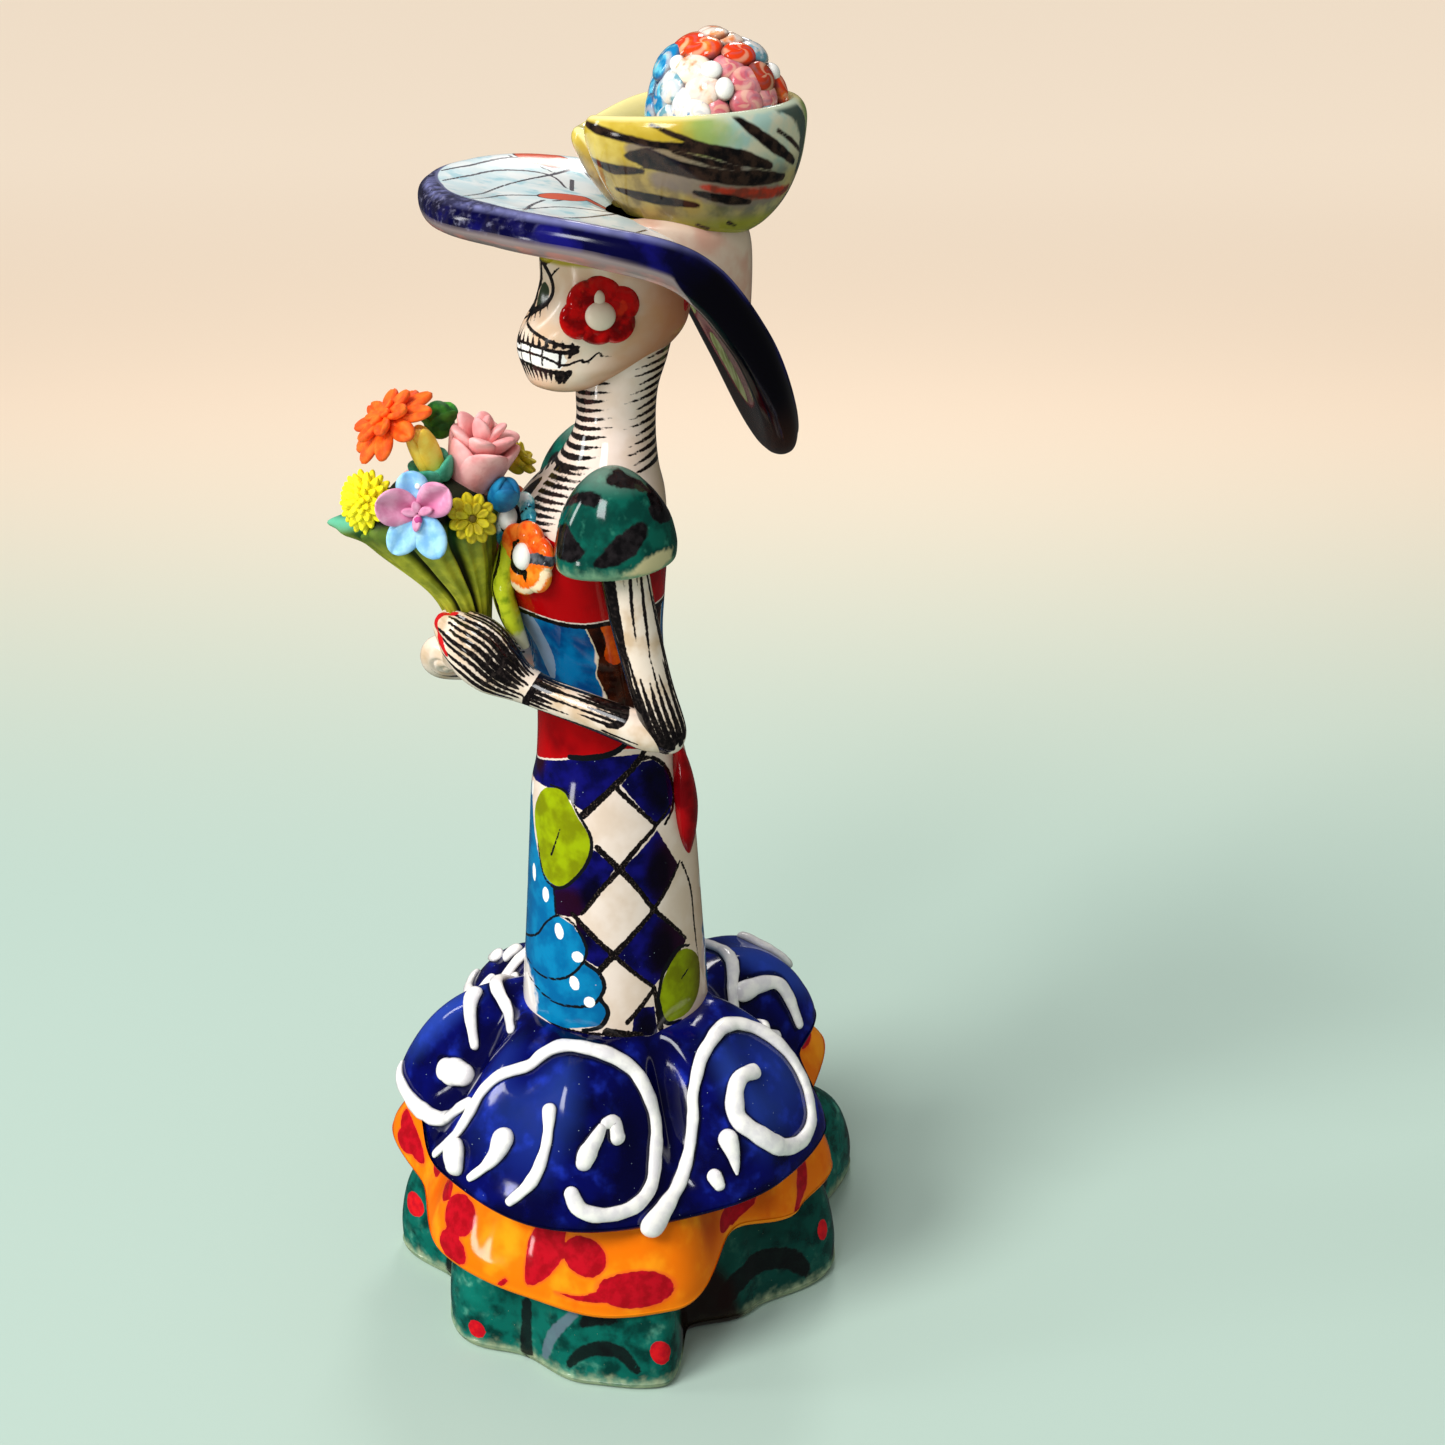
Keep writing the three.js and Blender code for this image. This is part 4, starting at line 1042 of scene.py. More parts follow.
FACE_LINES = [
    [[(-82, 257.9), (-72, 255.7), (-68, 253), (-67, 251), (-71, 249), (-80, 247.4)], .7, .8, .75, .95, .9],
    [[(-84, 257), (-87, 252.5), (-93, 249.5), (-88, 247.6), (-80, 247.2)], .6, .7, .7, .85, .9],
    [[(-92, 258.4), (-82, 257.4), (-72, 257.6), (-62, 258.6)], .5, .7, .4, .2],
    [[(-54, 257.2), (-61, 256), (-68, 254.9)], .1, .28, .15],
    [[(-67, 249.4), (-60, 248)], .3, .06], [[(-72, 248), (-64, 246.2)], .3, .06],
    [[(-76, 247.4), (-69, 245.2)], .3, .06], [[(-81, 246.9), (-74, 244.8)], .25, .06],
    [[(-86, 246.9), (-80, 244.6)], .22, .06],
    [[(-87, 247), (-83, 245.2), (-70, 244), (-56, 243), (-42, 241.9), (-32, 241.3), (-22, 241)],
     .15, .3, .36, .36, .4, .5],
    [[(-100, 240.4), (-80, 240.9), (-63, 240.8), (-49, 240.4), (-33, 239.8), (-22, 240)],
     .36, .34, .34, .4, .7],
    [[(-100, 238.9), (-80, 239.1), (-62, 239.1), (-48, 238.6), (-38, 237.8), (-30, 237.0), (-24, 237.1)],
     .26, .28, .28, .3],
    [[(-24, 237.1), (-16, 238), (-12, 237.6), (-8, 238.1), (-5, 239.5), (-2, 239.2), (0, 238.7), (7, 238.6)],
     .26, .28, .3, .16, .22, .06],
    [[(-9, 238), (-8, 237)], .2, .1],
    [[(-100, 236.6), (-80, 236.8), (-65, 236.5), (-50, 235.8), (-35, 235.3), (-21, 234.9)],
     .3, .34, .4, .45, .5],
]
FACE_LINES += [[[(a, 240.8), (a + 1, 236.8)], .24, .22] for a in (-90, -77, -62.5, -49)]
FACE_LINES += [[[(-33, 240), (-31.5, 236.6)], .34, .3], [[(-24, 240.4), (-25, 238.6)], .8, .3]]
FACE_LINES += [[[(a + 3, 241.0), (a, 243.6 - .02 * (a + 90))], .5, .06] for a in range(-98, -24, 7)]
FACE_LINES += [[[(a, 236.3 + .018 * (-90 - a) * .9), (a + 4, 232.9)], .52, .06] for a in range(-100, -22, 6)]
FACE_LINES += [[[(-29, 235), (-26, 233)], .9, .4], [[(-22, 235.2), (-21, 233)], .8, .3]]
SKULL_DEGREE = 0.21  # millimetres in a degree of the skull
IRIS = [(-78, 250.6, 1.7, 2.7, 14)]


def build_skull():
    """The skull, pushed in at the eyes and the nose and out at the cheeks and the teeth."""
    grid, chart, degrees, height = oval_stack(SKULL, 280, [8, 14, 17, 17, 18, 16, 16, 14])
    signed = wrapped(degrees)
    side = 90 - np.abs(signed + 90)
    front = np.clip(side / 90, 0, 1)
    across = (90 - side) * SKULL_DEGREE
    socket = bell(across - 4.6, 3.0) * bell(height - 251.5, 4.0)
    nose = bell(across, 1.6) * bell(height - 246.5, 2.6)
    cheek = bell(side - 30, 26) * bell(height - 245, 3.4)
    jaw = bell(side - 8, 20) * bell(height - 238.5, 3.0)
    teeth = front * bell(height - 239, 3.4)
    push = -1.5 * socket - 0.9 * nose + 0.5 * cheek - 0.5 * jaw + 0.25 * teeth
    grid = pushed(grid, points(0.0, grid[..., 1].mean(), grid[..., 2]), push)
    fields = {
        "black": chart.strokes(FACE_LINES + mirrored(FACE_LINES)),
        "tooth": chart.patch([(-100, 241), (-80, 241), (-33, 240), (-26, 238), (-30, 236), (-60, 236.4),
                              (-100, 236.6)]),
        "nose": nose,
        "iris": chart.ovals(IRIS + mirrored(IRIS)),
        "join": height - 257.7,
        "glow": bell(signed - 30, 44) * bell(height - 259.5, 4.6),
        "spot": chart.ovals([(62, 249, 1.7, 2.6), (118, 249, 1.7, 2.6)]),
        "warm": np.clip((16 - side) / 56, 0, 1),
    }
    look = Look("bone_glaze", 0.2, bump=0.01, bump_size=8.0)
    colour = look.mottled(CREAM, (226, 190, 158), 9.0)
    # Painted shade: warmer and darker towards the back of the head, in the shadow of the brim
    colour = look.mix(look.attribute("warm"), colour, (186, 112, 66), 0.85)
    colour = look.over(colour, "tooth", WHITE)
    colour = look.over(colour, "iris", (52, 62, 44), wobble=0.05)
    colour = look.over(colour, "black", look.mottled(BLACK, SOOT, 0.7), wobble=0.1, size=0.5, soft=0.09)
    colour = look.tint(colour, "nose", BLACK, 0.45, 0.7)
    colour = look.over(colour, "spot", RED)
    # Painted orange shade on the top of the head at the back, under the brim
    colour = look.mix(look.fade("glow", 0.2, 0.9), colour, (204, 74, 34), 0.75)
    colour = look.tint(colour, "join", (178, 160, 22), -0.5, 0.4, 0.9)
    piece("skull", [closed(grid, fields)], look.done(colour))


build_skull()

# Flowers in relief


def petal_ring(frame_, middle, count, inner, outer, half, thick, lift, start, groove, vary=0.0):
    """Round flat grooved petals about a middle, in the plane of a frame."""
    parts = []
    for k in range(count):
        angle = TURN * k / count + start + vary * math.sin(3.1 * k)
        reach = outer * (1 + vary * math.sin(2.4 * k + 1))
        radial = np.array([math.cos(angle), math.sin(angle), 0.0])
        side = np.array([-math.sin(angle), math.cos(angle), 0.0])
        grid = ball(26, 16)
        x, y, z = grid[..., 0], grid[..., 1], grid[..., 2]
        grid[..., 2] -= groove * bell(y, 0.3) * np.clip(z, 0, 1) * np.clip(1.15 - x**2, 0, 1)
        grid = grid * ((reach - inner) / 2, half, thick) @ np.stack([radial, side, np.cross(radial, side)])
        grid = (grid + radial * (inner + reach) / 2 + (0, 0, lift)) @ frame_ + np.asarray(middle, float)
        parts.append((grid, {}))
    return parts


def relief_flower(turned, middle, petals, heart, columns):
    """Six petals and a flat heart, each with its places in the flower's plane and their chart."""
    group = petal_ring(turned, middle, 6, 0.8, *petals)
    group.append(egg(middle + turned[2] * 0.7, heart, columns, 18, turned))
    for grid, _ in group:
        local = (grid - middle) @ turned.T
        yield grid, local[..., 0], local[..., 1], Chart(local[..., 0], local[..., 1], wrap=0)


def build_orange_reliefs():
    """The two orange flowers on the chest, one on each side."""
    turned = basis((0.58, -0.81, 0.1))
    middle = np.array([12.4, -18.9, 196.3])
    dot, _ = egg(middle + turned[2] * 1.7 + turned[1] * 0.6, (2.5, 3.0, 1.8), 34, 22, turned)
    parts = []
    petals = (8.4, 4.2, 2.0, 0.4, .35, .35)
    for grid, right, up, plane in relief_flower(turned, middle, petals, (4.6, 4.8, 1.4), 40):
        ring = np.hypot(right, up)
        fields = {
            "black": plane.strokes([
                [[(-2.6, 1.4), (-2.7, -1.6), (-1.2, -2.6), (0.8, -2.6), (1.6, -4.4)], .5, .9, 1.1, .9, .35],
                [[(-2.8, 2.6), (-1, 4.0)], .5, .3],
            ]),
            "grey": plane.strokes([[[(2.2, 0.6), (5, 1.2), (9, 1.0)], 1.0, 1.2, 1.0]]),
            "upper": up - 1.0 + 0.25 * right,
            "pale": both(ring - 6.3, 7.7 - ring, -up - 0.5),
        }
        parts += [(grid * (mirror, 1, 1), fields) for mirror in (1, -1)]
    parts += [(dot * (mirror, 1, 1), {"dot": INSIDE}) for mirror in (1, -1)]
    look = Look("orange_relief", 0.09, bump=0.03, bump_size=2.5)
    colour = look.mottled((240, 106, 14), (248, 142, 40), 2.6, 0.38, 0.6, 4.0)
    upper = look.mottled((226, 70, 16), (240, 120, 40), 2.4)
    colour = look.over(colour, "upper", upper, wobble=0.5, soft=0.6)
    colour = look.over(colour, "pale", (238, 214, 176), wobble=0.3, soft=0.3)
    colour = look.over(colour, "grey", look.mottled((92, 96, 104), (30, 30, 34), 2.4), wobble=0.2)
    colour = look.over(colour, "black", BLACK, wobble=0.14)
    colour = look.over(colour, "dot", WHITE)
    piece("orange_reliefs", parts, look.done(colour))


def build_blue_relief():
    """The blue and white flower under her chin."""
    turned = basis((0.42, -0.82, 0.38))
    middle = np.array([4.9, -20.4, 202.4])
    parts = []
    for grid, right, up, plane in relief_flower(turned, middle, (6.9, 3.5, 1.8, 0.0, .15, .3),
                                                (4.0, 4.0, 1.3), 36):
        ring = np.hypot(right, up)
        veins = plane.strokes([[[(3, 0), (6.5, 2)], .3, .15], [[(3, 2), (5, 5)], .3, .15]])
        stripes = np.sin(3 * np.arctan2(up, right) + 0.6) * 1.2 + (ring - 5) * 0.3
        parts.append((grid, {"black": most(3.5 - ring, veins), "cyan": stripes}))
    parts.append(egg(middle + turned[2] * 1.9, (2.7, 2.7, 1.9), 30, 20, turned, {"dot": INSIDE}))
    look = Look("blue_relief", 0.09, bump=0.03, bump_size=2.5)
    colour = look.mottled((236, 242, 240), (130, 208, 210), 2.6, 0.46, 0.64, 4.0)
    cyan = look.mottled((20, 120, 150), (90, 190, 200), 2.0)
    colour = look.over(colour, "cyan", cyan, wobble=0.5, soft=0.6)
    colour = look.over(colour, "black", BLACK, wobble=0.14)
    colour = look.over(colour, "dot", WHITE)
    piece("blue_relief", parts, look.done(colour))


def limb(path, steps, columns):
    """Rings along a smooth path of [x, y, z, half height, half thickness], their turns and lengths."""
    rows = refined(path, steps)
    spine = rows[:, :3]
    along = np.gradient(spine, axis=0)
    along /= np.linalg.norm(along, axis=1, keepdims=True)
    across = np.array([1.0, 0, 0]) - along * along[:, :1]
    across /= np.linalg.norm(across, axis=1, keepdims=True)
    up = np.cross(along, across)
    angle = TURN * turns(columns)
    grid = (spine[:, None] + rows[:, None, 4:5] * np.cos(angle)[None, :, None] * across[:, None]
            + rows[:, None, 3:4] * np.sin(angle)[None, :, None] * up[:, None])
    travel = lengths_along(spine)
    degrees = np.broadcast_to(360 * turns(columns), grid.shape[:2])
    length = np.broadcast_to(travel[:, None], grid.shape[:2])
    scale = (rows[:, 3:4] + rows[:, 4:5]) / 2 * math.pi / 180
    stations = np.interp(np.arange(len(path)), np.linspace(0, len(path) - 1, len(rows)), travel)
    return grid, Chart(degrees, length, scale), degrees, length, stations


def build_leaf():
    """The leaf on the chest."""
    path = [[6.6, -22, 198, 2, 3.0], [8.2, -24.2, 189, 2.4, 3.9], [8.3, -22.4, 180.5, 2.2, 3.3],
            [7.9, -19.6, 174, .9, .9]]
    grid, chart, _, length, stations = limb(path, 16, 40)
    fields = {
        "tip": length - stations[-1] + 5.0,
        "line": chart.strokes([
            [[(80, 1), (60, 5), (76, 9), (58, 13), (74, 17), (64, 22)], .4, .6, .35, .65, .35, .5],
            [[(66, 6), (36, 8)], .22, .08], [[(62, 14), (36, 17)], .22, .08],
            [[(150, 2), (160, 12), (150, 20)], .5, .6, .5],
        ]),
    }
    look = Look("leaf_relief", 0.1, bump=0.03, bump_size=2.5)
    colour = look.mottled((196, 204, 40), (128, 150, 22), 3.0, 0.44, 0.7, 4.0)
    colour = look.over(colour, "tip", (232, 222, 190), wobble=0.6, size=2.0, soft=0.8)
    colour = look.over(colour, "line", BLACK)
    piece("leaf_relief", [closed(grid, fields)], look.done(colour))


TAIL = (5.8, 3.5, 15.8)
LOOP = (5.8, 2.6, 4.2)
KNOT = (3.4, 2.5, 3.6)


def build_sash():
    """The two tails, the two loops and the knot of the sash behind her."""
    parts = []
    for middle, sizes in (((9.5, 15.0, 133), TAIL), ((-9.5, 15.0, 133), TAIL), ((6.4, 13.0, 149), LOOP),
                          ((-6.4, 13.0, 149), LOOP), ((0, 14.6, 148), KNOT)):
        tail = sizes is TAIL
        grid = ball(48, 46 if tail else 26)
        inner = (1 - np.hypot(grid[..., 0], grid[..., 2])) * 5 - 0.35
        vein = np.full(inner.shape, -1.0)
        if tail:
            below = np.clip(-grid[..., 2], 0, 1) ** 2
            above = np.clip(grid[..., 2], 0, 1)
            grid[..., 0] *= 1 - 0.45 * below
            grid[..., 1] *= 1 - 0.2 * below - 0.3 * above
            grid[..., 1] -= 0.35 * above**2
            turn = np.degrees(np.arctan2(grid[..., 1], grid[..., 0] * np.sign(middle[0])))
            inner = both(0.08 * np.abs(turn - 78) - 0.5, 0.08 * np.abs(turn + 96) - 0.9,
                         6 * (grid[..., 2] + 0.97))
            vein = np.where(np.abs(grid[..., 2] - 0.1) < 0.5, 0.3 - 0.08 * np.abs(turn - 36), -1.0)
        parts.append((grid * sizes + np.array(middle, float), {"inner": inner, "vein": vein}))
    look = Look("sash_glaze", 0.1, bump=0.02, bump_size=4.0)
    colour = look.mix(look.mask("inner", 0.1), SOOT, look.mottled((156, 5, 12), (108, 2, 8), 6.0))
    colour = look.mix(look.mask("vein", 0.05), colour, SOOT, 0.35)
    piece("sash_bow", parts, look.done(colour))


def build_ears():
    """A red flower over each ear."""
    parts = []
    middle = np.array([11.4, -2.0, 248.7])
    turned = basis((1.0, -0.08, 0.0))
    group = petal_ring(turned, middle, 6, 0.6, 7.9, 4.2, 2.2, 0.5, start=.35, groove=.5, vary=.11)
    group = [(grid, {"tone": 0.0}) for grid, _ in group]
    group.append(egg(middle + turned[2] * 1.0, (5.2, 5.2, 1.7), 36, 20, turned, {"tone": 0.0}))
    group.append(egg(middle + turned[2] * 2.2 + turned[1] * -0.6, (3.2, 3.1, 1.9),
                     36, 24, turned, {"tone": 3.0}))
    group.append(egg(middle + turned[2] * 2.0 + turned[1] * 2.6 - turned[0] * .1, (1.2, 2.1, 1.1),
                     24, 18, turned, {"tone": 3.0}))
    for mirror in (1, -1):
        parts += [(grid * (mirror, 1, 1), fields) for grid, fields in group]
    look = Look("ear_relief", 0.08, bump=0.06, bump_size=2.2)
    colour = look.mottled((188, 8, 8), (120, 2, 4), 3.0, 0.42, 0.66, 4.0)
    colour = look.mottled(colour, (214, 52, 22), 4.0, 0.62, 0.7, 3.0, share=0.7)
    colour = look.tint(colour, "tone", (226, 208, 188), 1.4, 1.6)
    piece("ear_flowers", parts, look.done(colour))


build_orange_reliefs()
build_blue_relief()
build_leaf()
build_sash()
build_ears()

# Sleeves, arms and hands


def build_sleeves():
    """The puff sleeves. The far one sits lower and farther back."""
    rows = [[198.5, 0.5], [197.2, 0.8], [198.0, 0.98], [200.2, 1.03], [203, 1.02], [208, 0.92], [212.6, 0.71],
            [216.2, 0.43], [217.9, 0.2], [218.2, 0.08]]
    table = refined(rows, [6, 8, 8, 9, 16, 16, 14, 8, 3])
    angle = TURN * turns(116)[None, :]
    parts = []
    for back, drop, mirror in ((0.0, 0.0, 1), (3.0, 2.0, -1)):
        height = table[:, :1]
        share = table[:, 1:] * (1 + 0.012 * np.sin(5 * angle + 1.0) * np.clip((214 - height) / 8, 0, 1))
        x = SLEEVE_REACH + 0.12 * (218 - height) + 0.82 * SLEEVE_RADIUS * share * np.cos(angle)
        y = back - 1.8 + SLEEVE_RADIUS * share * np.sin(angle)
        lean = 0.065 * (y - back + 1.4) * np.clip((214 - height) / 10, 0, 1)
        grid = points(x, y, height - drop + lean)
        chart = Chart(360 * turns(116), np.broadcast_to(height, grid.shape[:2]),
                      table[:, 1:] * math.radians(11.4))
        blots = most(
            chart.patch([(-88, 206.4), (-70, 208.4), (-54, 206.8), (-38, 204), (-46, 202), (-60, 201.4),
                         (-90, 202.6)], True),
            chart.strokes([[[(-24, 201.6), (-10, 203), (4, 205), (20, 207.4)], 1.0, 2.1, 2.6, 1.6]]),
            chart.patch([(92, 213.5), (62, 214.4), (44, 212), (38, 209), (54, 207), (94, 208)], True),
            chart.strokes([[[(-14, 216.6), (20, 216.6), (54, 214.8)], .9, 1.6, 1.2]]),
            chart.strokes([[[(-34, 213.2), (-60, 213.3), (-90, 211.6)], 1.2, 1.2, .7]]),
            chart.ovals([(150, 208, 4, 2.6, 20), (200, 203, 4, 2.4, -20), (240, 210, 3, 2, 0),
                         (120, 202, 3, 2, 0)]),
        )
        fields = {"blot": blots, "rim": np.broadcast_to(height, grid.shape[:2]) - 196.5,
                  "lip": chart.ovals([(32, 199.8, 5.5, 2.0, 8), (200, 199.5, 6, 2, 0)])}
        parts.append(closed(grid, fields, mirror=mirror))
    look = Look("sleeve_glaze", 0.09, bump=0.05, bump_size=5.0)
    colour = look.mottled((5, 58, 50), (10, 88, 74), 4.0, 0.35, 0.65, 4.0)
    colour = look.mottled(colour, (60, 140, 116), 2.6, 0.58, 0.76, 4.0, share=0.4)
    # Paler towards the bottom edge, and then a painted highlight along the top
    wear_and_sheen = look.ragged("rim", 2.4, 4.0, 5.0)
    colour = look.mix(look.ramp(wear_and_sheen, 6.8, 3.6, 0.0, 0.7), colour, (130, 168, 132))
    # A painted highlight: paler along the top of the sleeve
    colour = look.tint(colour, "rim", (128, 160, 144), 16.5, 21.0, 0.5)
    paint = look.mottled((12, 10, 12), (32, 28, 30), 2.0)
    colour = look.over(colour, "blot", paint, wobble=0.3, size=1.6, soft=0.3)
    colour = look.over(colour, "lip", (196, 184, 140), wobble=0.4, size=1.5, soft=0.5)
    piece("sleeves", parts, look.done(colour))


# Rings of the arms: the place of the middle, and two half widths

UPPER_ARM = [[25.2, -1.6, 204, 5.5, 5.3], [26.4, .5, 190, 5.2, 5.0], [28, 4.2, 172, 4.8, 4.7],
             [29, 7.6, 160, 4.5, 4.6], [29, 9.0, 156, 2.5, 2.5]]
NEAR_HAND = [
    [29, 9.5, 158, 2.5, 2.5], [28, 4, 159.6, 4.0, 4.1], [22, -8, 163.4, 3.8, 3.9],
    [14.5, -20, 167.2, 4.1, 4.0], [12.5, -26.5, 171.5, 6.6, 4.4], [10.5, -30.5, 175.5, 7.4, 4.8],
    [7, -33.5, 177.5, 6.2, 4.8], [1.5, -35.5, 178.5, 4, 4],
]
FAR_HAND = [
    [-29, 9.5, 157.5, 2.5, 2.5], [-28, 4, 158.5, 4.1, 4.1], [-22, -8, 161.5, 4.0, 4.0],
    [-13.5, -20, 164, 4.2, 4.0], [-10, -28, 166, 6.0, 4.4], [-6, -34, 168.5, 6.6, 4.8],
    [-1, -36.5, 170.5, 5.8, 4.4], [5, -35, 172, 3, 3],
]
FINGER_GAPS = (70, 42, 12, -20)  # degrees round a hand
FINGER_GROOVE = 0.55


def streaks(seed, count, start, end, length, halves, angles):
    """Tapering brush streaks along a limb, spaced evenly round it with a small shift."""
    random = np.random.default_rng(seed)
    lines = []
    for k in range(count):
        a = angles[0] + (angles[1] - angles[0]) * (k + 0.3 * random.uniform(-1, 1)) / count
        b = start + (end - start) * random.uniform(-0.04, 0.04)
        reach = (end - start) * length * random.uniform(0.65, 1.1)
        wide = halves * random.uniform(0.65, 1.25)
        lines.append([[(a, b), (a, b + reach / 2), (a, b + reach)], wide * .7, wide, .07])
    return lines


def arm_look():
    """Bone glaze with black strokes, for both arms."""
    look = Look("arm_glaze", 0.1, bump=0.02, bump_size=4.0)
    colour = look.mottled((232, 214, 198), (206, 178, 148), 6.0, 0.4, 0.7)
    colour = look.over(colour, "green", (120, 150, 24), wobble=0.4, size=1.6, soft=0.4)
    paint = look.mottled(BLACK, (46, 38, 36), 0.9, 0.46, 0.74)
    colour = look.over(colour, "black", paint, wobble=0.14, size=0.9, soft=0.1)
    colour = look.over(colour, "red", (196, 26, 30), wobble=0.12, size=1.2)
    return look.done(colour)


def build_arms():
    """The upper arms as a pair, then each hand with its forearm, with painted bones and fingers."""
    bone = arm_look()
    parts = []
    for mirror in (1, -1):
        grid, chart, _, _, s = limb(UPPER_ARM, [24, 28, 20, 12], 120)
        end = s[-1]
        lines = [
            [[(60, 2), (64, 16), (74, 30), (84, 44)], 3.3, 2.6, 1.9, 1.3],
            [[(-12, 5), (2, 13), (12, 22)], .35, .42, .08], [[(-37, 5), (-24, 17), (-10, 27)], .3, .45, .08],
            [[(9, 4), (11, 10)], .4, .08], [[(-26, 4), (-20, 10)], .3, .08],
            [[(-57, 5), (-60, 19), (-56, 36)], .4, .55, .3],
            [[(60, end - 2), (60, end - 13), (62, end - 24)], 1.4, 1.1, .12],
            [[(38, end - 1), (42, end - 12), (44, end - 27)], .8, .7, .08],
            [[(20, end - 2), (24, end - 12), (26, end - 20)], .9, .6, .08],
            [[(3, end - 2), (6, end - 12), (4, end - 18)], .8, .55, .08],
            [[(-14, end - 3), (-12, end - 10), (-12, end - 23)], .8, .5, .08],
            [[(-32, end - 2), (-30, end - 12), (-24, end - 19)], .9, .5, .08],
            [[(-52, end - 3), (-52, end - 12), (-48, end - 22)], .9, .6, .1],
            [[(-74, end - 4), (-70, end - 20), (-72, 14)], .8, .6, .4],
        ]
        lines += streaks(5, 5, 6, end, .5, .6, (130, 270)) + streaks(6, 5, end - 1, 6, .4, .7, (130, 270))
        fields = {"black": chart.strokes(lines), "red": chart.strokes([]), "green": chart.ovals([])}
        parts.append(closed(grid, fields, mirror=mirror))
    piece("upper_arms", parts, bone)

    for name, path, side in (("near_hand", NEAR_HAND, 1), ("far_hand", FAR_HAND, -1)):
        grid, chart, degrees, length, s = limb(path, [10, 22, 28, 20, 16, 16, 14], 124)
        wrist = s[3] + 1.0
        tip = s[-1]
        fingers = np.clip((length - s[4]) / 4, 0, 1) * np.clip((tip - length) / 3, 0, 1)
        groove = sum(bell(wrapped(degrees) - a, 7) for a in FINGER_GAPS)
        grid = pushed(grid, grid[:, :-1].mean(1, keepdims=True), -FINGER_GROOVE * groove * fingers)

        def at(a):
            return a if side > 0 else 180 - a

        lines = [[[(at(-130), wrist), (at(-40), wrist + .6), (at(40), wrist - .4), (at(130), wrist)],
                  .9, .9, .75, .9]]
        for k, a in enumerate((96, 84, 73, 60, 48, 35, 22, 10, -4, -18, -33, -50)):
            path = [(at(a), wrist + 1.5 + (k % 3)), (at(a - 3), wrist + 10), (at(a - 2), tip - 3 - (k % 4))]
            lines.append([path, .25, .52 + .13 * (k % 3), .25])
        for a, reach, half in ((102, 11, 1.1), (88, 6, .6), (74, 13, .6), (60, 7, .4), (44, 10, .8),
                               (28, 5, .5), (14, 12, .5), (-4, 6, .7), (-20, 10, .45), (-38, 5, .6)):
            path = [(at(a), wrist - .4), (at(a + 1), wrist - reach / 2), (at(a + 3), wrist - reach)]
            lines.append([path, half, half * .8, .06])
        for a, reach, half in ((98, 8, .5), (84, 15, 1.0), (66, 11, .9), (50, 16, .6), (34, 8, .6),
                               (18, 14, .4), (2, 9, .5)):
            start = s[1] + 2
            path = [(at(a), start), (at(a - 2), start + reach / 2), (at(a - 3), start + reach)]
            lines.append([path, half, half * .8, .06])
        lines += [[[(at(-76), s[1] - 5), (at(-52), s[1] + 1), (at(-58), s[2]), (at(-66), wrist - 2)],
                   .5, 1.1, 1.2, .6],
                  [[(at(-30), s[1] - 3), (at(-28), s[1] + 5)], .25, .35],
                  [[(at(104), s[1] + 3), (at(60), s[1] + 1.4), (at(20), s[1] + 1.6), (at(-6), s[1] + 4)],
                   .6, .8, .9, .4]]
        lines += streaks(9, 8, wrist + 2, tip, .7, .6, (at(120), at(280)))
        lines += streaks(10, 6, s[1], wrist, .8, .5, (at(120), at(250)))
        edge = [[[(at(52), s[6] + 2.4), (at(30), s[7] - 1.6), (at(0), s[7] - 1), (at(-40), s[6])],
                 .3, .8, .8, .6]]
        fields = {
            "black": chart.strokes(lines), "red": chart.strokes(edge),
            "green": chart.ovals([(at(98), s[4] + 1, 2.6, 3.4)]),
        }
        piece(name, [closed(grid, fields)], bone)


build_sleeves()
build_arms()

# The hat


def bend(length):
    """How far back and how high the brim lies, at a length along it."""
    rows = np.array(BRIM_LINE, float)
    length = np.clip(length, rows[0, 0], rows[-1, 0] - 0.001)
    index = np.clip(np.searchsorted(rows[:, 0], length, side="right") - 1, 0, len(rows) - 2)
    share = (length - rows[index, 0]) / (rows[index + 1, 0] - rows[index, 0])
    return smooth(rows, index + share)[..., 1:]


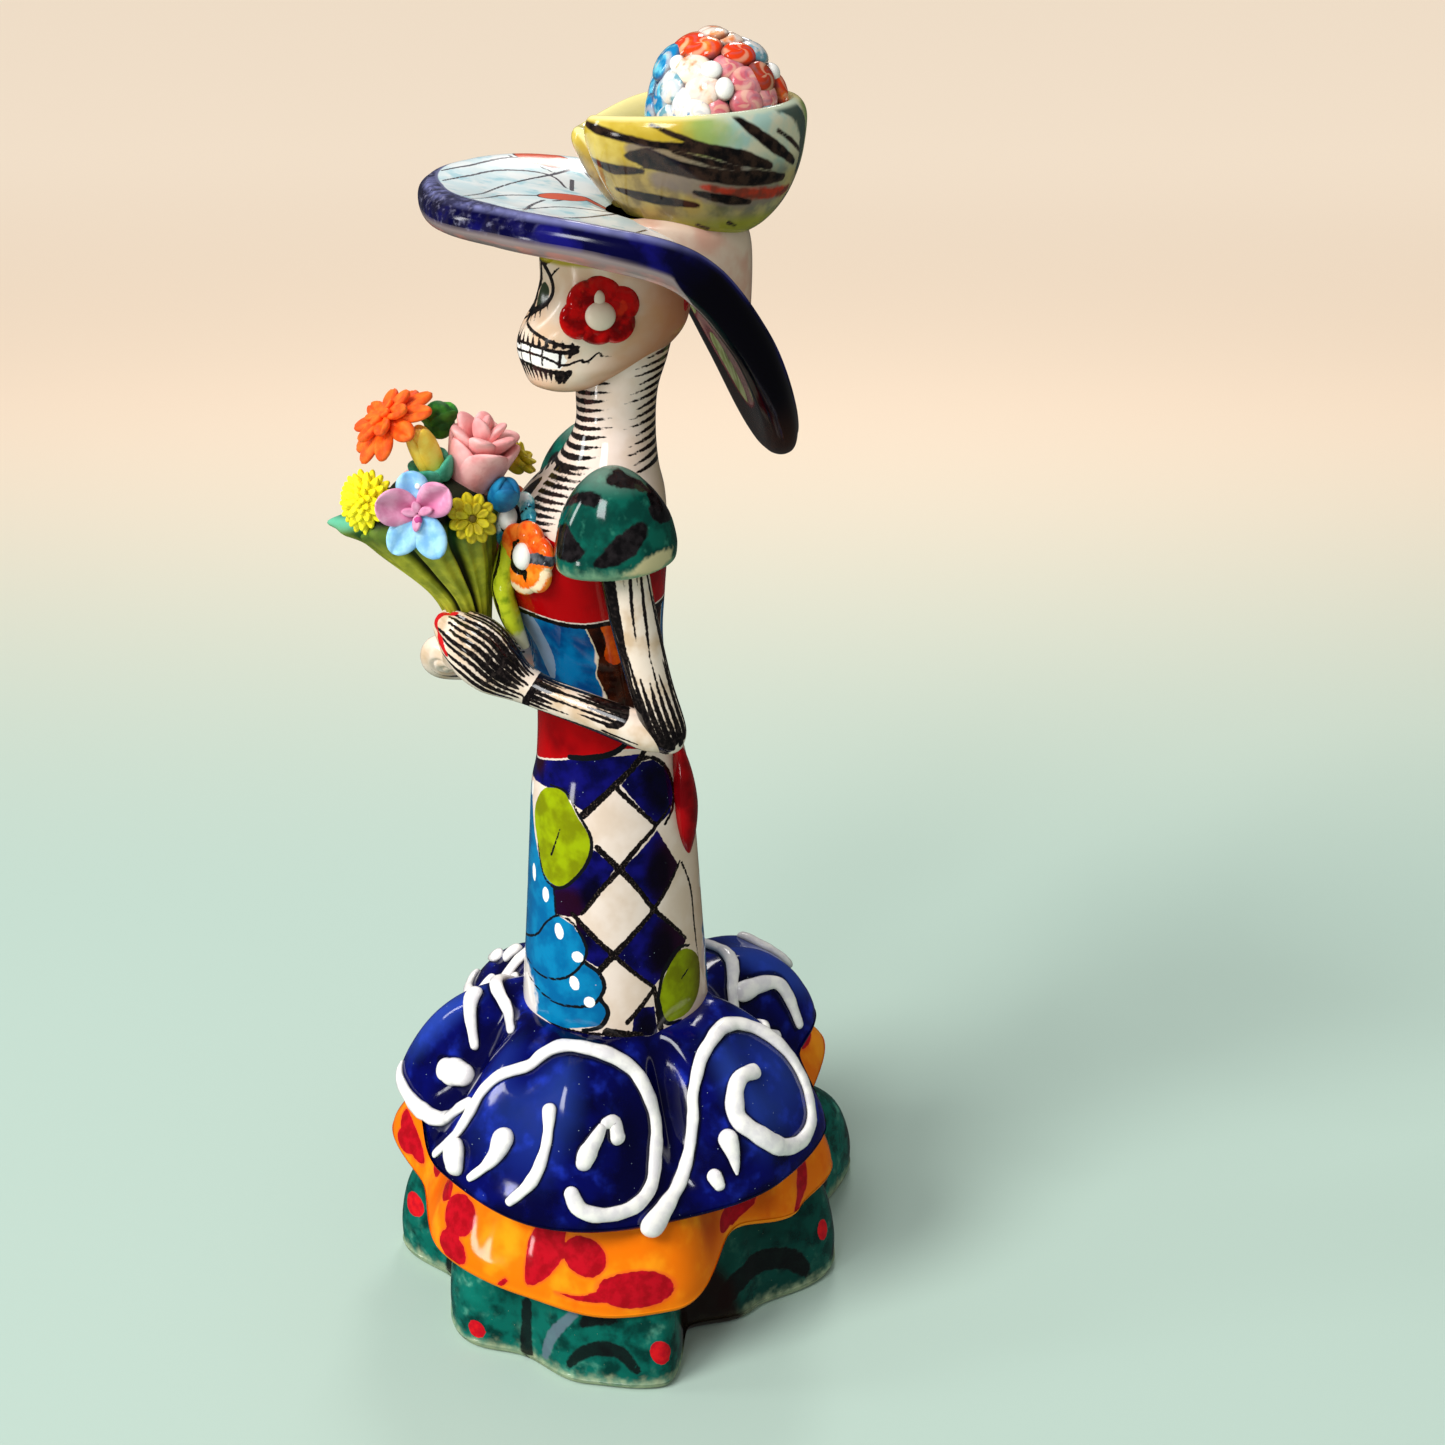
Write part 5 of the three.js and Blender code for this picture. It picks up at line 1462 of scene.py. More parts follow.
def build_brim():
    """The brim, bent over a saddle, with a thick blue roll at its edge."""
    half = BRIM_ROLL
    rows = [[0.3, -1.8], [0.62, -1.7], [0.88, -half], [0.955, -0.82 * half], [0.99, -0.42 * half],
            [1, 0.06 * half], [0.988, 0.5 * half], [0.95, 0.85 * half], [0.9, half], [0.66, 1.5], [0.3, 1.4]]
    table = refined(rows, [12, 18, 6, 4, 4, 4, 4, 6, 26, 28])
    turn = TURN * turns(340)[None, :]
    share, lift = table[:, :1], table[:, 1:]
    upper = np.broadcast_to(lift, (len(table), turn.shape[1]))
    sine = np.sin(turn)
    length = share * sine * np.where(sine > 0, HAT_BACK_REACH, HAT_FRONT_REACH)
    lift = lift * np.interp(length, [-51, -20, 5, 25, 45, 60], [1.22, 1.3, 1.46, 1.36, 1.2, 1.1])
    place = bend(length)
    slope = bend(length + 1) - bend(length - 1)
    slope /= np.linalg.norm(slope, axis=-1, keepdims=True)
    x = share * HAT_HALF_WIDTH * np.cos(turn)
    grid = points(x, place[..., 0] - slope[..., 1] * lift,
                  place[..., 1] + slope[..., 0] * lift - HAT_TILT * x)
    reach = np.broadcast_to(share, x.shape)
    flat = Chart(x, length, 1.0, wrap=0)
    rays = [
        [[(-4, -44), (-19, -32), (-23, -20), (-12, -18)], .3, .35, .4, .3],
        [[(14, -43), (-7, -32), (-24, -19), (-30, -14)], .3, .35, .4, .4],
        [[(-30, -28), (-28, -23), (-25, -18)], .3, .35, .3], [[(17, -42), (3, -34), (0, -26)], .3, .4, .4],
        [[(27, -33), (12, -29), (4, -25)], .3, .4, .4], [[(-22, -15), (-10, -17)], .5, .5],
        [[(4, -23), (-3, -14), (8, -10)], .4, .4, .35], [[(26, -30), (18, -20), (8, -10)], .35, .4, .4],
        [[(-12, -44), (-27, -30), (-30, -24)], .3, .35, .3], [[(24, -38), (10, -24), (8, -12)], .3, .35, .3],
        [[(36, -12), (26, -10), (18, -6)], .2, .3, .3], [[(38, 4), (27, 4), (18, 2)], .2, .3, .3],
    ]
    rays += mirrored(rays[-2:], 0)
    rays += [[[(24 * math.cos(a), 24 * math.sin(a)), (37 * math.cos(a), 47 * math.sin(a))], .3, .2]
             for a in np.radians([35, 55, 75, 95, 115, 135, 155])]
    eyes = [(-1.5, -20, 3.4, 6.2, 22), (-32.5, -20, 4.4, 6.8, 10), (24, 2, 5, 3.6, 0), (-28, 8, 4.4, 5, 0),
            (0, 44, 4, 6, 0)]
    under_eyes = [(-7, 40, 3.6, 13, -62), (-24, 24, 4, 8, 30), (20, 34, 4, 9, 40), (-8, -36, 6, 4, 0),
                  (20, -28, 5, 4, 0)]
    drips = [[[(6, 47), (14, 51)], 1.6, 1.0], [[(12, 44), (20, 47)], 1.3, .8], [[(-6, 50), (2, 53)], 1.2, .8]]
    over_share = 0.885 + 0.06 * np.clip(-x / 20, 0, 1)
    under_share = np.interp(length, [-20, -4, 10, 30, 60], [1.0, 0.995, 0.9, 0.8, 0.74])
    fields = {
        "top": upper,
        "rim": np.where(upper > 0, reach - over_share, reach - under_share) * HAT_HALF_WIDTH,
        "rays": flat.strokes(rays), "eyes": flat.ovals(eyes), "lime": flat.ovals(under_eyes),
        "drips": flat.strokes(drips), "back": length,
    }
    look = Look("brim_glaze", 0.15, bump=0.02, bump_size=9.0)
    top = look.mottled((222, 240, 244), (244, 249, 249), 8.0, 0.4, 0.6)
    top = look.mottled(top, (170, 216, 228), 5.0, 0.54, 0.7, 3.0, share=0.8)
    top = look.over(top, "rays", (96, 92, 100), wobble=0.08)
    eyes = look.tint((86, 70, 74), "eyes", (226, 104, 78), 0.2, 0.32)
    top = look.over(top, "eyes", eyes, wobble=0.06)
    below = look.mottled((196, 132, 124), (150, 130, 130), 9.0, 0.4, 0.6)
    # Painted shade: the underside darker towards the back
    below = look.tint(below, "back", (172, 118, 116), 8.0, 30.0, 0.85)
    below = look.mottled(below, (204, 168, 152), 6.0, 0.58, 0.7, 3.0, share=0.6)
    below = look.tint(below, "lime", (126, 52, 60), -1.2, -0.2, 0.8)
    lime = look.mottled((204, 212, 150), (146, 158, 84), 2.0, stretch=(1, 0.4, 0.4))
    below = look.over(below, "lime", lime, wobble=0.2, size=2.0)
    below = look.over(below, "drips", BLACK, wobble=0.3)
    inside = look.tint(below, "top", top, -0.2, 0.2)
    band = look.mottled((3, 2, 48), (16, 14, 104), 6.0, 0.4, 0.66)
    # A painted highlight along the top ridge of the roll, violet-grey and broken up by noise
    wear_and_sheen = look.ramp(look.noise(8.0, 3.0), 0.34, 0.6, 0.45, 0.9)
    ridge_highlight = look.math("MULTIPLY", look.fade("top", 2.1, 2.95), look.fade("back", 8.0, -14.0))
    band = look.mix(look.math("MULTIPLY", wear_and_sheen, ridge_highlight), band, (128, 130, 182))
    front = look.math("MULTIPLY", look.fade("back", -24.0, -44.0),
                      look.ramp(look.noise(3.0, 4.0), 0.36, 0.58))
    grey = look.mottled((26, 23, 40), (112, 110, 134), 1.3, 0.5, 0.72)
    band = look.mix(front, band, grey, 0.85)
    # Painted shade: the roll nearly black towards the back, most on its lower side
    dark = look.math("MULTIPLY", look.fade("back", -16.0, 4.0), look.fade("top", 3.1, 2.2, 0.5, 1.0))
    band = look.mix(dark, band, (2, 1, 8))
    sheen = look.math("MULTIPLY", look.fade("top", 2.75, 3.0),
                      look.ramp(look.noise(9.0, 3.0, (1, 0.3, 0.3)), 0.45, 0.6))
    sheen = look.math("MULTIPLY", sheen, look.fade("back", -12.0, -4.0))
    band = look.mix(sheen, band, (92, 92, 140), 0.5)
    band = look.tint(band, "back", (46, 20, 8), 34.0, 50.0, 0.85)
    line = look.tint((150, 132, 132), "back", (132, 18, 30), 14.0, 30.0)
    line = look.tint(line, "top", (112, 114, 150), -0.2, 0.2)
    colour = look.tint(inside, "rim", line, -0.75, -0.45)
    colour = look.tint(colour, "rim", band, -0.3, 0.1)
    piece("hat_brim", [closed(grid, fields, 6)], look.done(colour))


def build_crown():
    """The crown between the brim and the bowl."""
    rows = refined([[0, 0.95], [0.3, 1], [0.75, 1], [1, 0.85]], 8)
    turn = TURN * turns(90)[None, :]
    x = CROWN_RADIUS * rows[:, 1:] * np.cos(turn)
    y = CROWN_CENTRE + CROWN_RADIUS * rows[:, 1:] * np.sin(turn)
    back = np.maximum(0, y - BRIM_LINE[3][1])
    foot = bend(y - BRIM_LINE[3][1] + 0.5 * back)[..., 1]
    grid = points(x, y, foot + (CROWN_TOP - foot) * rows[:, :1])
    look = Look("crown_glaze", 0.1, bump=0.03, bump_size=5.0)
    colour = look.mottled((204, 158, 138), (214, 188, 168), 8.0)
    piece("hat_crown", [closed(grid, {})], look.done(colour))


def build_bowl():
    """The leaf bowl: its wall, lip and inside, notched at the side with a spout."""
    rows = [[0.4, 0, 0], [0.64, 0.1, 0], [0.83, 0.28, 0], [0.95, 0.52, 0], [1, 0.78, 0], [0.995, 0.92, 0.1],
            [0.985, 1.0, 1.6], [0.98, 0.985, 3.1], [0.96, 0.88, 3.9], [0.9, 0.55, 4], [0.7, 0.4, 4]]
    table = refined(rows, [6, 10, 14, 16, 9, 6, 5, 5, 8, 5])
    turn = turns(260)[None, :]
    share, rise, wall = (table[:, k][:, None] for k in range(3))
    offset = np.where(turn > 0.5, turn - 1, turn)
    angle = TURN * (turn - 0.25)
    taper = (1 - rise) * np.clip(rise * 12, 0, 1) * (wall < 1)
    share = share - 0.27 * taper * np.maximum(0, -np.sin(angle))
    notch = bell(offset, 0.035) * rise
    tip = bell(np.abs(offset) - 0.1, 0.06) * rise
    drop = 5 * bell(offset + 0.09, 0.08) * rise
    y = BOWL_CENTRE + (BOWL_LENGTH / 2 * share - wall) * np.sin(angle)
    x = (BOWL_WIDTH / 2 * share - wall) * np.cos(angle)
    z = BOWL_FOOT + (BOWL_RIM - BOWL_FOOT) * rise * (1 - 0.5 * notch) + 0.04 * (y - BOWL_CENTRE) - drop
    grid = points(x, y + 8 * notch - 2.5 * tip, z)
    degrees = np.broadcast_to(np.degrees(angle), grid.shape[:2])
    outer = np.broadcast_to(wall, degrees.shape)
    chart = Chart(degrees, grid[..., 2], math.radians(BOWL_LENGTH / 2 - 1.5))
    lines = [
        [[(-64, 286.2), (-53, 285.4), (-28, 283.2), (-6, 282.4), (13, 280.4), (33, 277.8)],
         .2, .8, .5, .9, 1.5, .5],
        [[(12, 288.2), (20, 285.6), (34, 281.8), (54, 277.6)], .3, .8, 1.1, .5],
        [[(-40, 280.6), (-30, 280.2), (-16, 278.6), (6, 276.6), (24, 275.8), (46, 275.0)],
         .3, 1.9, 1.3, 1.2, 1.5, .5],
        [[(-68, 278.8), (-50, 277.6), (-34, 277.6)], .3, .9, .4],
        [[(-54, 273.2), (-32, 271.9), (-6, 270.8)], .3, 1.0, .3],
        [[(-28, 286.9), (-14, 284.5), (-2, 282.8)], .12, .4, .3],
        [[(-18, 281.8), (0, 279.6), (14, 278)], .15, .5, .3],
        [[(-8, 273.6), (10, 271.8), (24, 270.8)], .3, .9, .3],
        [[(36, 284.8), (48, 282.2), (60, 279.6)], .2, .35, .2], [[(-6, 266.4), (2, 265.4)], .2, .1],
        [[(14, 266.6), (22, 265.6)], .2, .1],
    ]
    lines += mirrored(lines, 85)
    reds = [[[(-4, 274.6), (21, 272.6), (58, 271.8)], .6, 1.3, 1.0], [[(118, 274), (150, 273)], 1.2, .8]]
    greys = [
        [[(-36, 282.2), (-20, 281), (-4, 279.4), (24, 277.2)], 1.4, 2.2, 1.8, 1.0],
        [[(-26, 276.2), (-4, 275), (20, 272.4), (44, 272)], 1.8, 2.8, 2.8, 2],
        [[(146, 280), (190, 277)], 2, 2],
    ]
    fields = {
        "black": np.where(outer < 1.5, chart.strokes(lines, 0.22), OUTSIDE),
        "red": np.where(outer < 1.0, chart.strokes(reds), OUTSIDE),
        "grey": chart.strokes(greys),
        "rimdark": chart.strokes([[[(40, 289.6), (56, 287), (64, 281), (62, 276)], 1.2, 2.4, 2.0, .8]]),
        "around": np.cos(np.radians(degrees - 35)),
        "rise": grid[..., 2], "wall": outer,
    }
    look = Look("bowl_glaze", 0.12, bump=0.06, bump_size=6.0)
    yellow = look.mottled((212, 188, 88), (188, 158, 48), 7.0)
    teal = look.mottled((160, 188, 178), (208, 198, 170), 6.0, 0.4, 0.62, 4.0)
    sweep = look.ragged("around", 9.0, 3.0, 0.3)
    colour = look.mix(look.ramp(sweep, 0.84, 1.06), yellow, teal)
    green = look.math("MULTIPLY", look.ramp(sweep, 0.74, 0.9), look.ramp(sweep, 1.08, 0.94))
    colour = look.mix(green, colour, (132, 162, 84), 0.8)
    lower = look.mottled((168, 144, 84), (98, 82, 62), 5.0)
    colour = look.tint(colour, "rise", lower, 282.0, 275.0, 0.85)
    colour = look.tint(colour, "rise", (156, 150, 30), 269.0, 265.8, 0.85)
    colour = look.mix(look.mask("grey", 0.6, 3.0, 0.8), colour, (124, 108, 98), 0.85)
    paint = look.mottled((178, 52, 30), (120, 52, 38), 3.0)
    colour = look.over(colour, "red", paint, wobble=0.4, size=2.5, soft=0.5)
    colour = look.mix(look.mask("rimdark", 0.5, 2.0, 0.6), colour, (16, 50, 48), 0.9)
    paint = look.mottled(BLACK, (52, 36, 28), 2.4)
    colour = look.over(colour, "black", paint, wobble=0.14, size=2.4, soft=0.3)
    rim = look.mix(look.ramp(sweep, 0.85, 1.1), (232, 218, 150), (190, 200, 176))
    colour = look.tint(colour, "wall", rim, 0.6, 1.4)
    piece("leaf_bowl", [closed(grid, fields)], look.done(colour))


TO_CAMERA = np.array([0.891, -0.2, 0.407])
CAMERA_RIGHT = np.array([0.22, 0.976, 0.0])
DOME_HALF = np.array([14.0, 12.8, 15.0])
ROUND_BUD = 6

# The hat's flowers, as the camera sees them: right, up, half width, half height and colour
POSY = [
    (-5.6, 11.2, 4.2, 3.6, 1), (-2.6, 9.4, 3.6, 3.0, 1), (-0.4, 13.0, 3.6, 2.6, 5), (2.4, 12.2, 3.2, 2.4, 5),
    (7.4, 9.6, 4.0, 2.8, 2), (4.2, 8.0, 3.4, 2.6, 1), (10.6, 6.2, 2.6, 2.2, 6), (12.2, 3.2, 3.4, 3.4, 1),
    (8.4, 3.8, 3.2, 3.0, 7), (9.6, 0.2, 3.2, 3.0, 3), (5.6, 2.2, 3.4, 3.0, 3), (5.6, -1.8, 3.2, 2.8, 3),
    (2.2, 5.2, 3.0, 2.6, 3), (-1.0, 4.0, 2.5, 2.2, 6), (1.4, 0.4, 2.1, 2.5, 6), (-2.8, 0.4, 3.4, 3.4, 5),
    (-4.6, 4.8, 3.6, 3.0, 5), (-9.6, 8.4, 3.6, 3.8, 4), (-12.6, 4.4, 3.2, 3.8, 4), (-8.6, 2.2, 3.2, 3.4, 2),
    (-12.6, -1.4, 2.8, 4.2, 4), (-9.8, -3.6, 3.0, 3.6, 2), (-6.2, -2.6, 2.8, 3.8, 8),
    (-3.8, -4.0, 3.0, 3.0, 8), (-0.4, -3.8, 2.8, 2.6, 3), (9.6, -3.8, 3.2, 3.0, 4), (13.0, -1.6, 3.0, 3.0, 2),
    (-7.6, 6.8, 2.2, 2.0, 6),
]


def on_dome(base):
    """The place on the dome of flowers that a line from base towards the camera meets."""
    a = ((TO_CAMERA / DOME_HALF) ** 2).sum()
    b = (TO_CAMERA * base / DOME_HALF**2).sum()
    c = ((base / DOME_HALF) ** 2).sum() - 1
    root = b * b - a * c
    if root < 0:
        return base / math.sqrt(c + 1)
    return base + TO_CAMERA * (-b + math.sqrt(root)) / a


def build_hat_flowers():
    """Lumps of blossom over an egg, as they are seen from the camera, and then on the far side."""
    parts = [egg(DOME_CENTRE, (13.6, 12.4, 14.6), 60, 40, None, {"tone": 0.0, "ring": 0.5, "swirl": 0.0})]
    up = np.cross(TO_CAMERA, CAMERA_RIGHT)
    for far in (False, True):
        for k, (x, y, wide, tall, tone) in enumerate(POSY):
            if far and y < -3:
                continue
            spot = on_dome(CAMERA_RIGHT * x + up * y) * (-1 if far else 1, 1, 1)
            turned = basis(spot / DOME_HALF**2)
            place = spot + np.array(DOME_CENTRE)
            grow = 0.95 if tone == ROUND_BUD else 1.16
            size = (wide * grow, tall * grow, 0.5 * min(wide, tall) + (0.7 if tone == ROUND_BUD else 0.3))
            grid = ball(28, 19)
            ring = np.hypot(grid[..., 0], grid[..., 1]) * np.where(grid[..., 2] < 0, 1.2, 1.0)
            swirl = np.sin(2.5 * np.arctan2(grid[..., 1], grid[..., 0]) + 5 * ring + 1.7 * k)
            lift = 0.6 * (k % 3) / 2 + (0.5 if tone == ROUND_BUD else 0.0)
            parts.append(((grid * size) @ turned + place + turned[2] * lift,
                          {"tone": float(tone), "ring": ring, "swirl": 0.0 if tone == ROUND_BUD else swirl}))
    look = Look("posy_glaze", 0.08, bump=0.05, bump_size=2.5)
    tones = look.attribute("tone")
    colour = look.mottled((40, 110, 90), (60, 150, 190), 3.0)
    paints = [
        look.mottled((226, 62, 22), (244, 140, 60), 4.0, 0.5, 0.75),
        look.mottled((214, 220, 224), (110, 160, 176), 3.0, 0.5, 0.62),
        look.mottled((206, 96, 110), (226, 150, 152), 2.8),
        look.mottled((22, 124, 180), (110, 200, 224), 3.0, 0.4, 0.64),
        look.mottled((240, 222, 208), (234, 140, 84), 3.4, 0.48, 0.64),
        WHITE,
        look.mottled((140, 60, 30), (190, 56, 34), 2.4),
        look.mottled((240, 236, 234), (30, 130, 190), 2.2, 0.56, 0.64, stretch=(1, 1, 0.4)),
    ]
    for number, paint in enumerate(paints, 1):
        colour = look.mix(look.ramp(tones, number - 0.6, number - 0.4), colour, paint)
    swirl = look.ragged("swirl", 2.0, 3.0, 0.8)
    colour = look.mix(look.ramp(swirl, 0.7, 1.4, 0.0, 0.4), colour, (246, 214, 178))
    colour = look.mix(look.ramp(swirl, -0.2, -0.8, 0.0, 0.3), colour, (60, 120, 150))
    # Painted shade: dark edges where the lumps meet
    colour = look.tint(colour, "ring", (96, 50, 44), 0.84, 1.0, 0.65)
    piece("hat_flowers", parts, look.done(colour), weld=1e-7)


build_brim()
build_crown()
build_bowl()
build_hat_flowers()

# The bouquet


def clay(name, a, b, size, bump=0.10, bump_size=0.9, roughness=0.62, tints=()):
    """Matte clay. Its tints are an attribute, where it starts and ends, a share, and a colour or a mottle."""
    look = Look(name, roughness, bump=bump, bump_size=bump_size)
    colour = look.mottled(a, b, size)
    for key, start, end, share, paint, *mottle in tints:
        colour = look.tint(colour, key, look.mottled(paint, *mottle) if mottle else paint, start, end, share)
    return look.done(colour)


def build_leaves():
    """The bouquet's stems and the ring of leaves with curled tips."""
    rows = [[171, 1, -30, 3.6, 3.6, 0], [179, 1, -31, 4.8, 4.8, 0], [186, 1.5, -32.6, 6.6, 6.6, 0],
            [194, 2, -36.2, 10.3, 10.8, 0], [200, 2, -39, 13.2, 13.6, 1.2], [202.8, 2, -40, 14.2, 15.0, 4.2],
            [204.6, 2, -39.8, 13.2, 14.2, 1.2], [206.8, 2, -39.4, 11.4, 12.4, 0],
            [208.6, 2, -38.5, 7.5, 8.5, 0]]
    table = refined(rows, [10, 12, 16, 14, 8, 6, 6, 4])
    turn = TURN * turns(200)[None, :]
    height, x, y, wide, long, tip = (table[:, k][:, None] for k in range(6))
    grow = np.clip((height - 173) / 20, 0, 1)
    rib = np.cos(8 * turn)
    crease = -1.9 * bell(rib + 1, 0.3) * grow * np.clip((208 - height) / 5, 0, 1)
    vein = 0.3 * np.cos(24 * turn) * grow + crease
    flute = 1 + 0.06 * rib * np.clip((height - 171) / 24, 0, 1)
    grid = points(x + (wide * flute + vein) * np.cos(turn),
                  y + (long * flute + vein) * np.sin(turn) - tip * np.maximum(0, -np.sin(turn)) ** 9,
                  height + 1.2 * rib * np.clip((height - 196) / 8, 0, 1) * np.clip((210 - height) / 4, 0, 1))
    front = np.maximum(0, -np.sin(turn)) ** 6 * np.clip((height - 198) / 6, 0, 1)
    leaf_crease_shade = np.broadcast_to(-rib - 0.35 * np.cos(24 * turn), grid.shape[:2])
    fields = {"rib": leaf_crease_shade, "rise": grid[..., 2], "front": front}
    look = Look("leaf_clay", 0.6, bump=0.08, bump_size=0.8)
    colour = look.mottled((196, 192, 40), (150, 154, 24), 4.0)
    # Painted shade in the creases between the leaves
    colour = look.tint(colour, "rib", (26, 26, 4), 0.25, 1.0, 0.96)
    colour = look.tint(colour, "rise", (24, 92, 34), 194.0, 205.0, 0.8)
    colour = look.tint(colour, "front", (100, 196, 164), 0.6, 0.95, 0.85)
    # Painted shade: the tops of the leaves, and the core under the flowers, go nearly black
    colour = look.tint(colour, "rise", (8, 20, 10), 204.4, 206.2, 0.95)
    core = egg((3, -37, 208.5), (9.5, 10.5, 5.5), 40, 24)[0]
    parts = [closed(grid, fields), (core, {"rib": 0.0, "rise": 220.0, "front": 0.0})]
    piece("bouquet_leaves_clay", parts, look.done(colour), "bouquet_leaves", "leaf_clay")


def petal(root, tip_, half, thick, cup=0.0, groove=0.3, point=0.6, lift=0.0, columns=22, rows=16, lean=0.0):
    """A petal along +X from root to tip, in its own plane: cupped, grooved, and pointed or round."""
    turn = TURN * turns(columns)[None, :]
    v = np.linspace(0, 1, rows)[:, None]
    body = np.maximum(np.sin(np.pi * v**point) ** 0.52, 0.02)
    x = root + (tip_ - root) * v
    y = half * body * np.cos(turn)
    top = np.clip(np.sin(turn), 0, 1)
    dent = groove * bell(np.cos(turn), 0.42) * top * body
    z = thick * body ** 0.6 * np.sin(turn) - dent + lift + cup * v**2 + lean * v
    z = z + 0.35 * cup * (y / max(half, 1e-3)) ** 2 * v
    grid = points(x, y, z)
    grid[0] = grid[0].mean(0)
    grid[-1] = grid[-1].mean(0)
    return grid


def wrap(frame_, middle, angle, radius, height, tilt, sizes, curve, flare=0.0, tone=0.0):
    """A plump round petal that stands about a flower's axis, wraps round it and leans out."""
    radial = np.array([math.cos(angle), math.sin(angle), 0.0])
    axis = np.array([0.0, 0.0, 1.0])
    lean = math.radians(tilt)
    local = np.stack([radial * math.cos(lean) - axis * math.sin(lean), np.cross(axis, radial),
                      radial * math.sin(lean) + axis * math.cos(lean)])
    grid = ball(22, 19) * sizes
    rise = np.clip(grid[..., 2] / sizes[2], 0, 1)
    grid[..., 0] += flare * rise**2 - curve * grid[..., 1] ** 2
    grid = grid @ local + radial * radius + axis * height
    return grid @ frame_ + np.asarray(middle, float), {"tone": tone}


def placed(grid, turn, frame_, middle):
    """A petal turned about the flower's axis and set in its place."""
    c, s = math.cos(turn), math.sin(turn)
    spin = np.array([[c, s, 0], [-s, c, 0], [0, 0, 1.0]])
    return (grid @ spin) @ frame_ + np.asarray(middle, float)


def flower(middle, facing, layers, extras):
    """Rings of petals, as a count, the first turn and the petal's sizes, and eggs: place, sizes and tone."""
    turned = basis(facing)
    parts = []
    for count, start, sizes in layers:
        for k in range(count):
            wobble = 1 + 0.06 * math.sin(7.3 * k + 2.1 * count)
            grid = petal(sizes[0], sizes[1] * wobble, *sizes[2:])
            spin = TURN * (k + start) / count + 0.05 * math.sin(5 * k + count)
            parts.append((placed(grid, spin, turned, middle), {"tone": 0.0}))
    for place, sizes, tone in extras:
        spot = np.asarray(middle, float) + np.asarray(place, float) @ turned
        parts.append(egg(spot, sizes, 26, 18, turned, {"tone": tone}))
    return parts


def build_rose(material):
    """A plump middle with three rings of petals that wrap round it."""
    turned = basis((0.16, 0.3, 0.94))
    middle = np.array([4.2, -28.3, 215.5])
    rose = [egg(middle - turned[2] * 1.2, (5.6, 5.6, 6.0), 40, 26, turned, {"tone": 0.0})]
    for angle, radius, height, tilt, sizes, flare in (
            (0, 4.9, -0.6, 10, (1.5, 5.2, 6.4), .9), (75, 5.1, 0.2, 14, (1.4, 4.8, 6.0), 1.2),
            (150, 4.8, 0.0, 12, (1.5, 5.0, 6.2), .9), (222, 5.4, 0.6, 15, (1.4, 5.2, 6.4), 1.4),
            (292, 5.2, 0.2, 13, (1.5, 5.2, 6.6), 1.2), (14, 4.8, 5.0, 42, (1.3, 3.2, 3.9), .8),
            (74, 4.6, 6.0, 34, (1.3, 3.0, 3.8), .8), (134, 4.8, 5.4, 40, (1.3, 3.0, 3.6), .8),
            (196, 4.6, 5.8, 36, (1.3, 3.0, 3.6), .8), (256, 4.4, 6.4, 30, (1.3, 3.0, 3.8), .8),
            (316, 4.8, 5.4, 42, (1.3, 3.2, 3.9), .8), (40, 2.2, 7.8, 22, (1.1, 2.5, 3.2), .5),
            (160, 2.0, 8.2, 16, (1.1, 2.5, 3.2), .5), (280, 2.1, 8.0, 20, (1.1, 2.5, 3.2), .5),
            (90, 0.3, 8.8, 4, (1.2, 1.6, 2.6), .0)):
        rose.append(wrap(turned, middle, math.radians(angle), radius, height, tilt, sizes, 0.07, flare))
    piece("pink_rose_clay", rose, material, "pink_rose", "pink_clay")


def build_pansy(material):
    """Three petals of one colour and two of another, grooved and cupped, with a streaked heart."""
    turned = basis((0.95, -0.3, 0.15))
    centre = np.array([15.0, -41.7, 209.0])
    pansy = []
    for angle, tone, root, reach, half, cup, lift in (
            (104, 1.0, 1.6, 9.0, 3.5, 1.0, -0.7), (39, 0.0, -0.6, 9.4, 3.9, 4.2, 0.3),
            (163, 0.0, -0.6, 8.6, 4.2, 4.2, 0.3), (-65, 1.0, -1.0, 10.4, 3.6, 1.4, 0.3),
            (-123, 1.0, -1.0, 10.3, 3.5, 1.4, 0.3)):
        grid = petal(root, reach, half, 1.45, cup, 1.8 - 0.8 * tone, 1.25, lift, 38, 28)
        heart = np.sin(TURN * turns(38))[None, :] * (1.15 - np.linspace(0, 1, 28)[:, None] * 1.3)
        pansy.append((placed(grid, math.radians(angle), turned, centre), {"tone": tone, "heart": heart}))
    for angle, reach in ((20, 3.6), (100, 2.8), (170, 3.4), (-95, 3.8)):
        grid = petal(0.0, reach, 1.0, 1.0, 0.9, 0.2, 0.9, 1.3, 22, 14)
        pansy.append((placed(grid, math.radians(angle), turned, centre), {"tone": 0.0, "heart": 0.4}))
    for up, out, sizes, columns, rows, tone in ((5.6, 0.5, (0.7, 0.7, 0.5), 18, 12, 3.0),
                                                (-1.4, 1.6, (1.0, 1.0, 0.8), 24, 16, 2.0),
                                                (-1.2, -0.9, (3.4, 3.8, 1.5), 24, 16, 1.0)):
        spot = centre + turned[1] * up + turned[2] * out
        pansy.append(egg(spot, sizes, columns, rows, turned, {"tone": tone, "heart": 0.0}))
    piece("pansy_clay", pansy, material, "pansy", "lilac_clay")


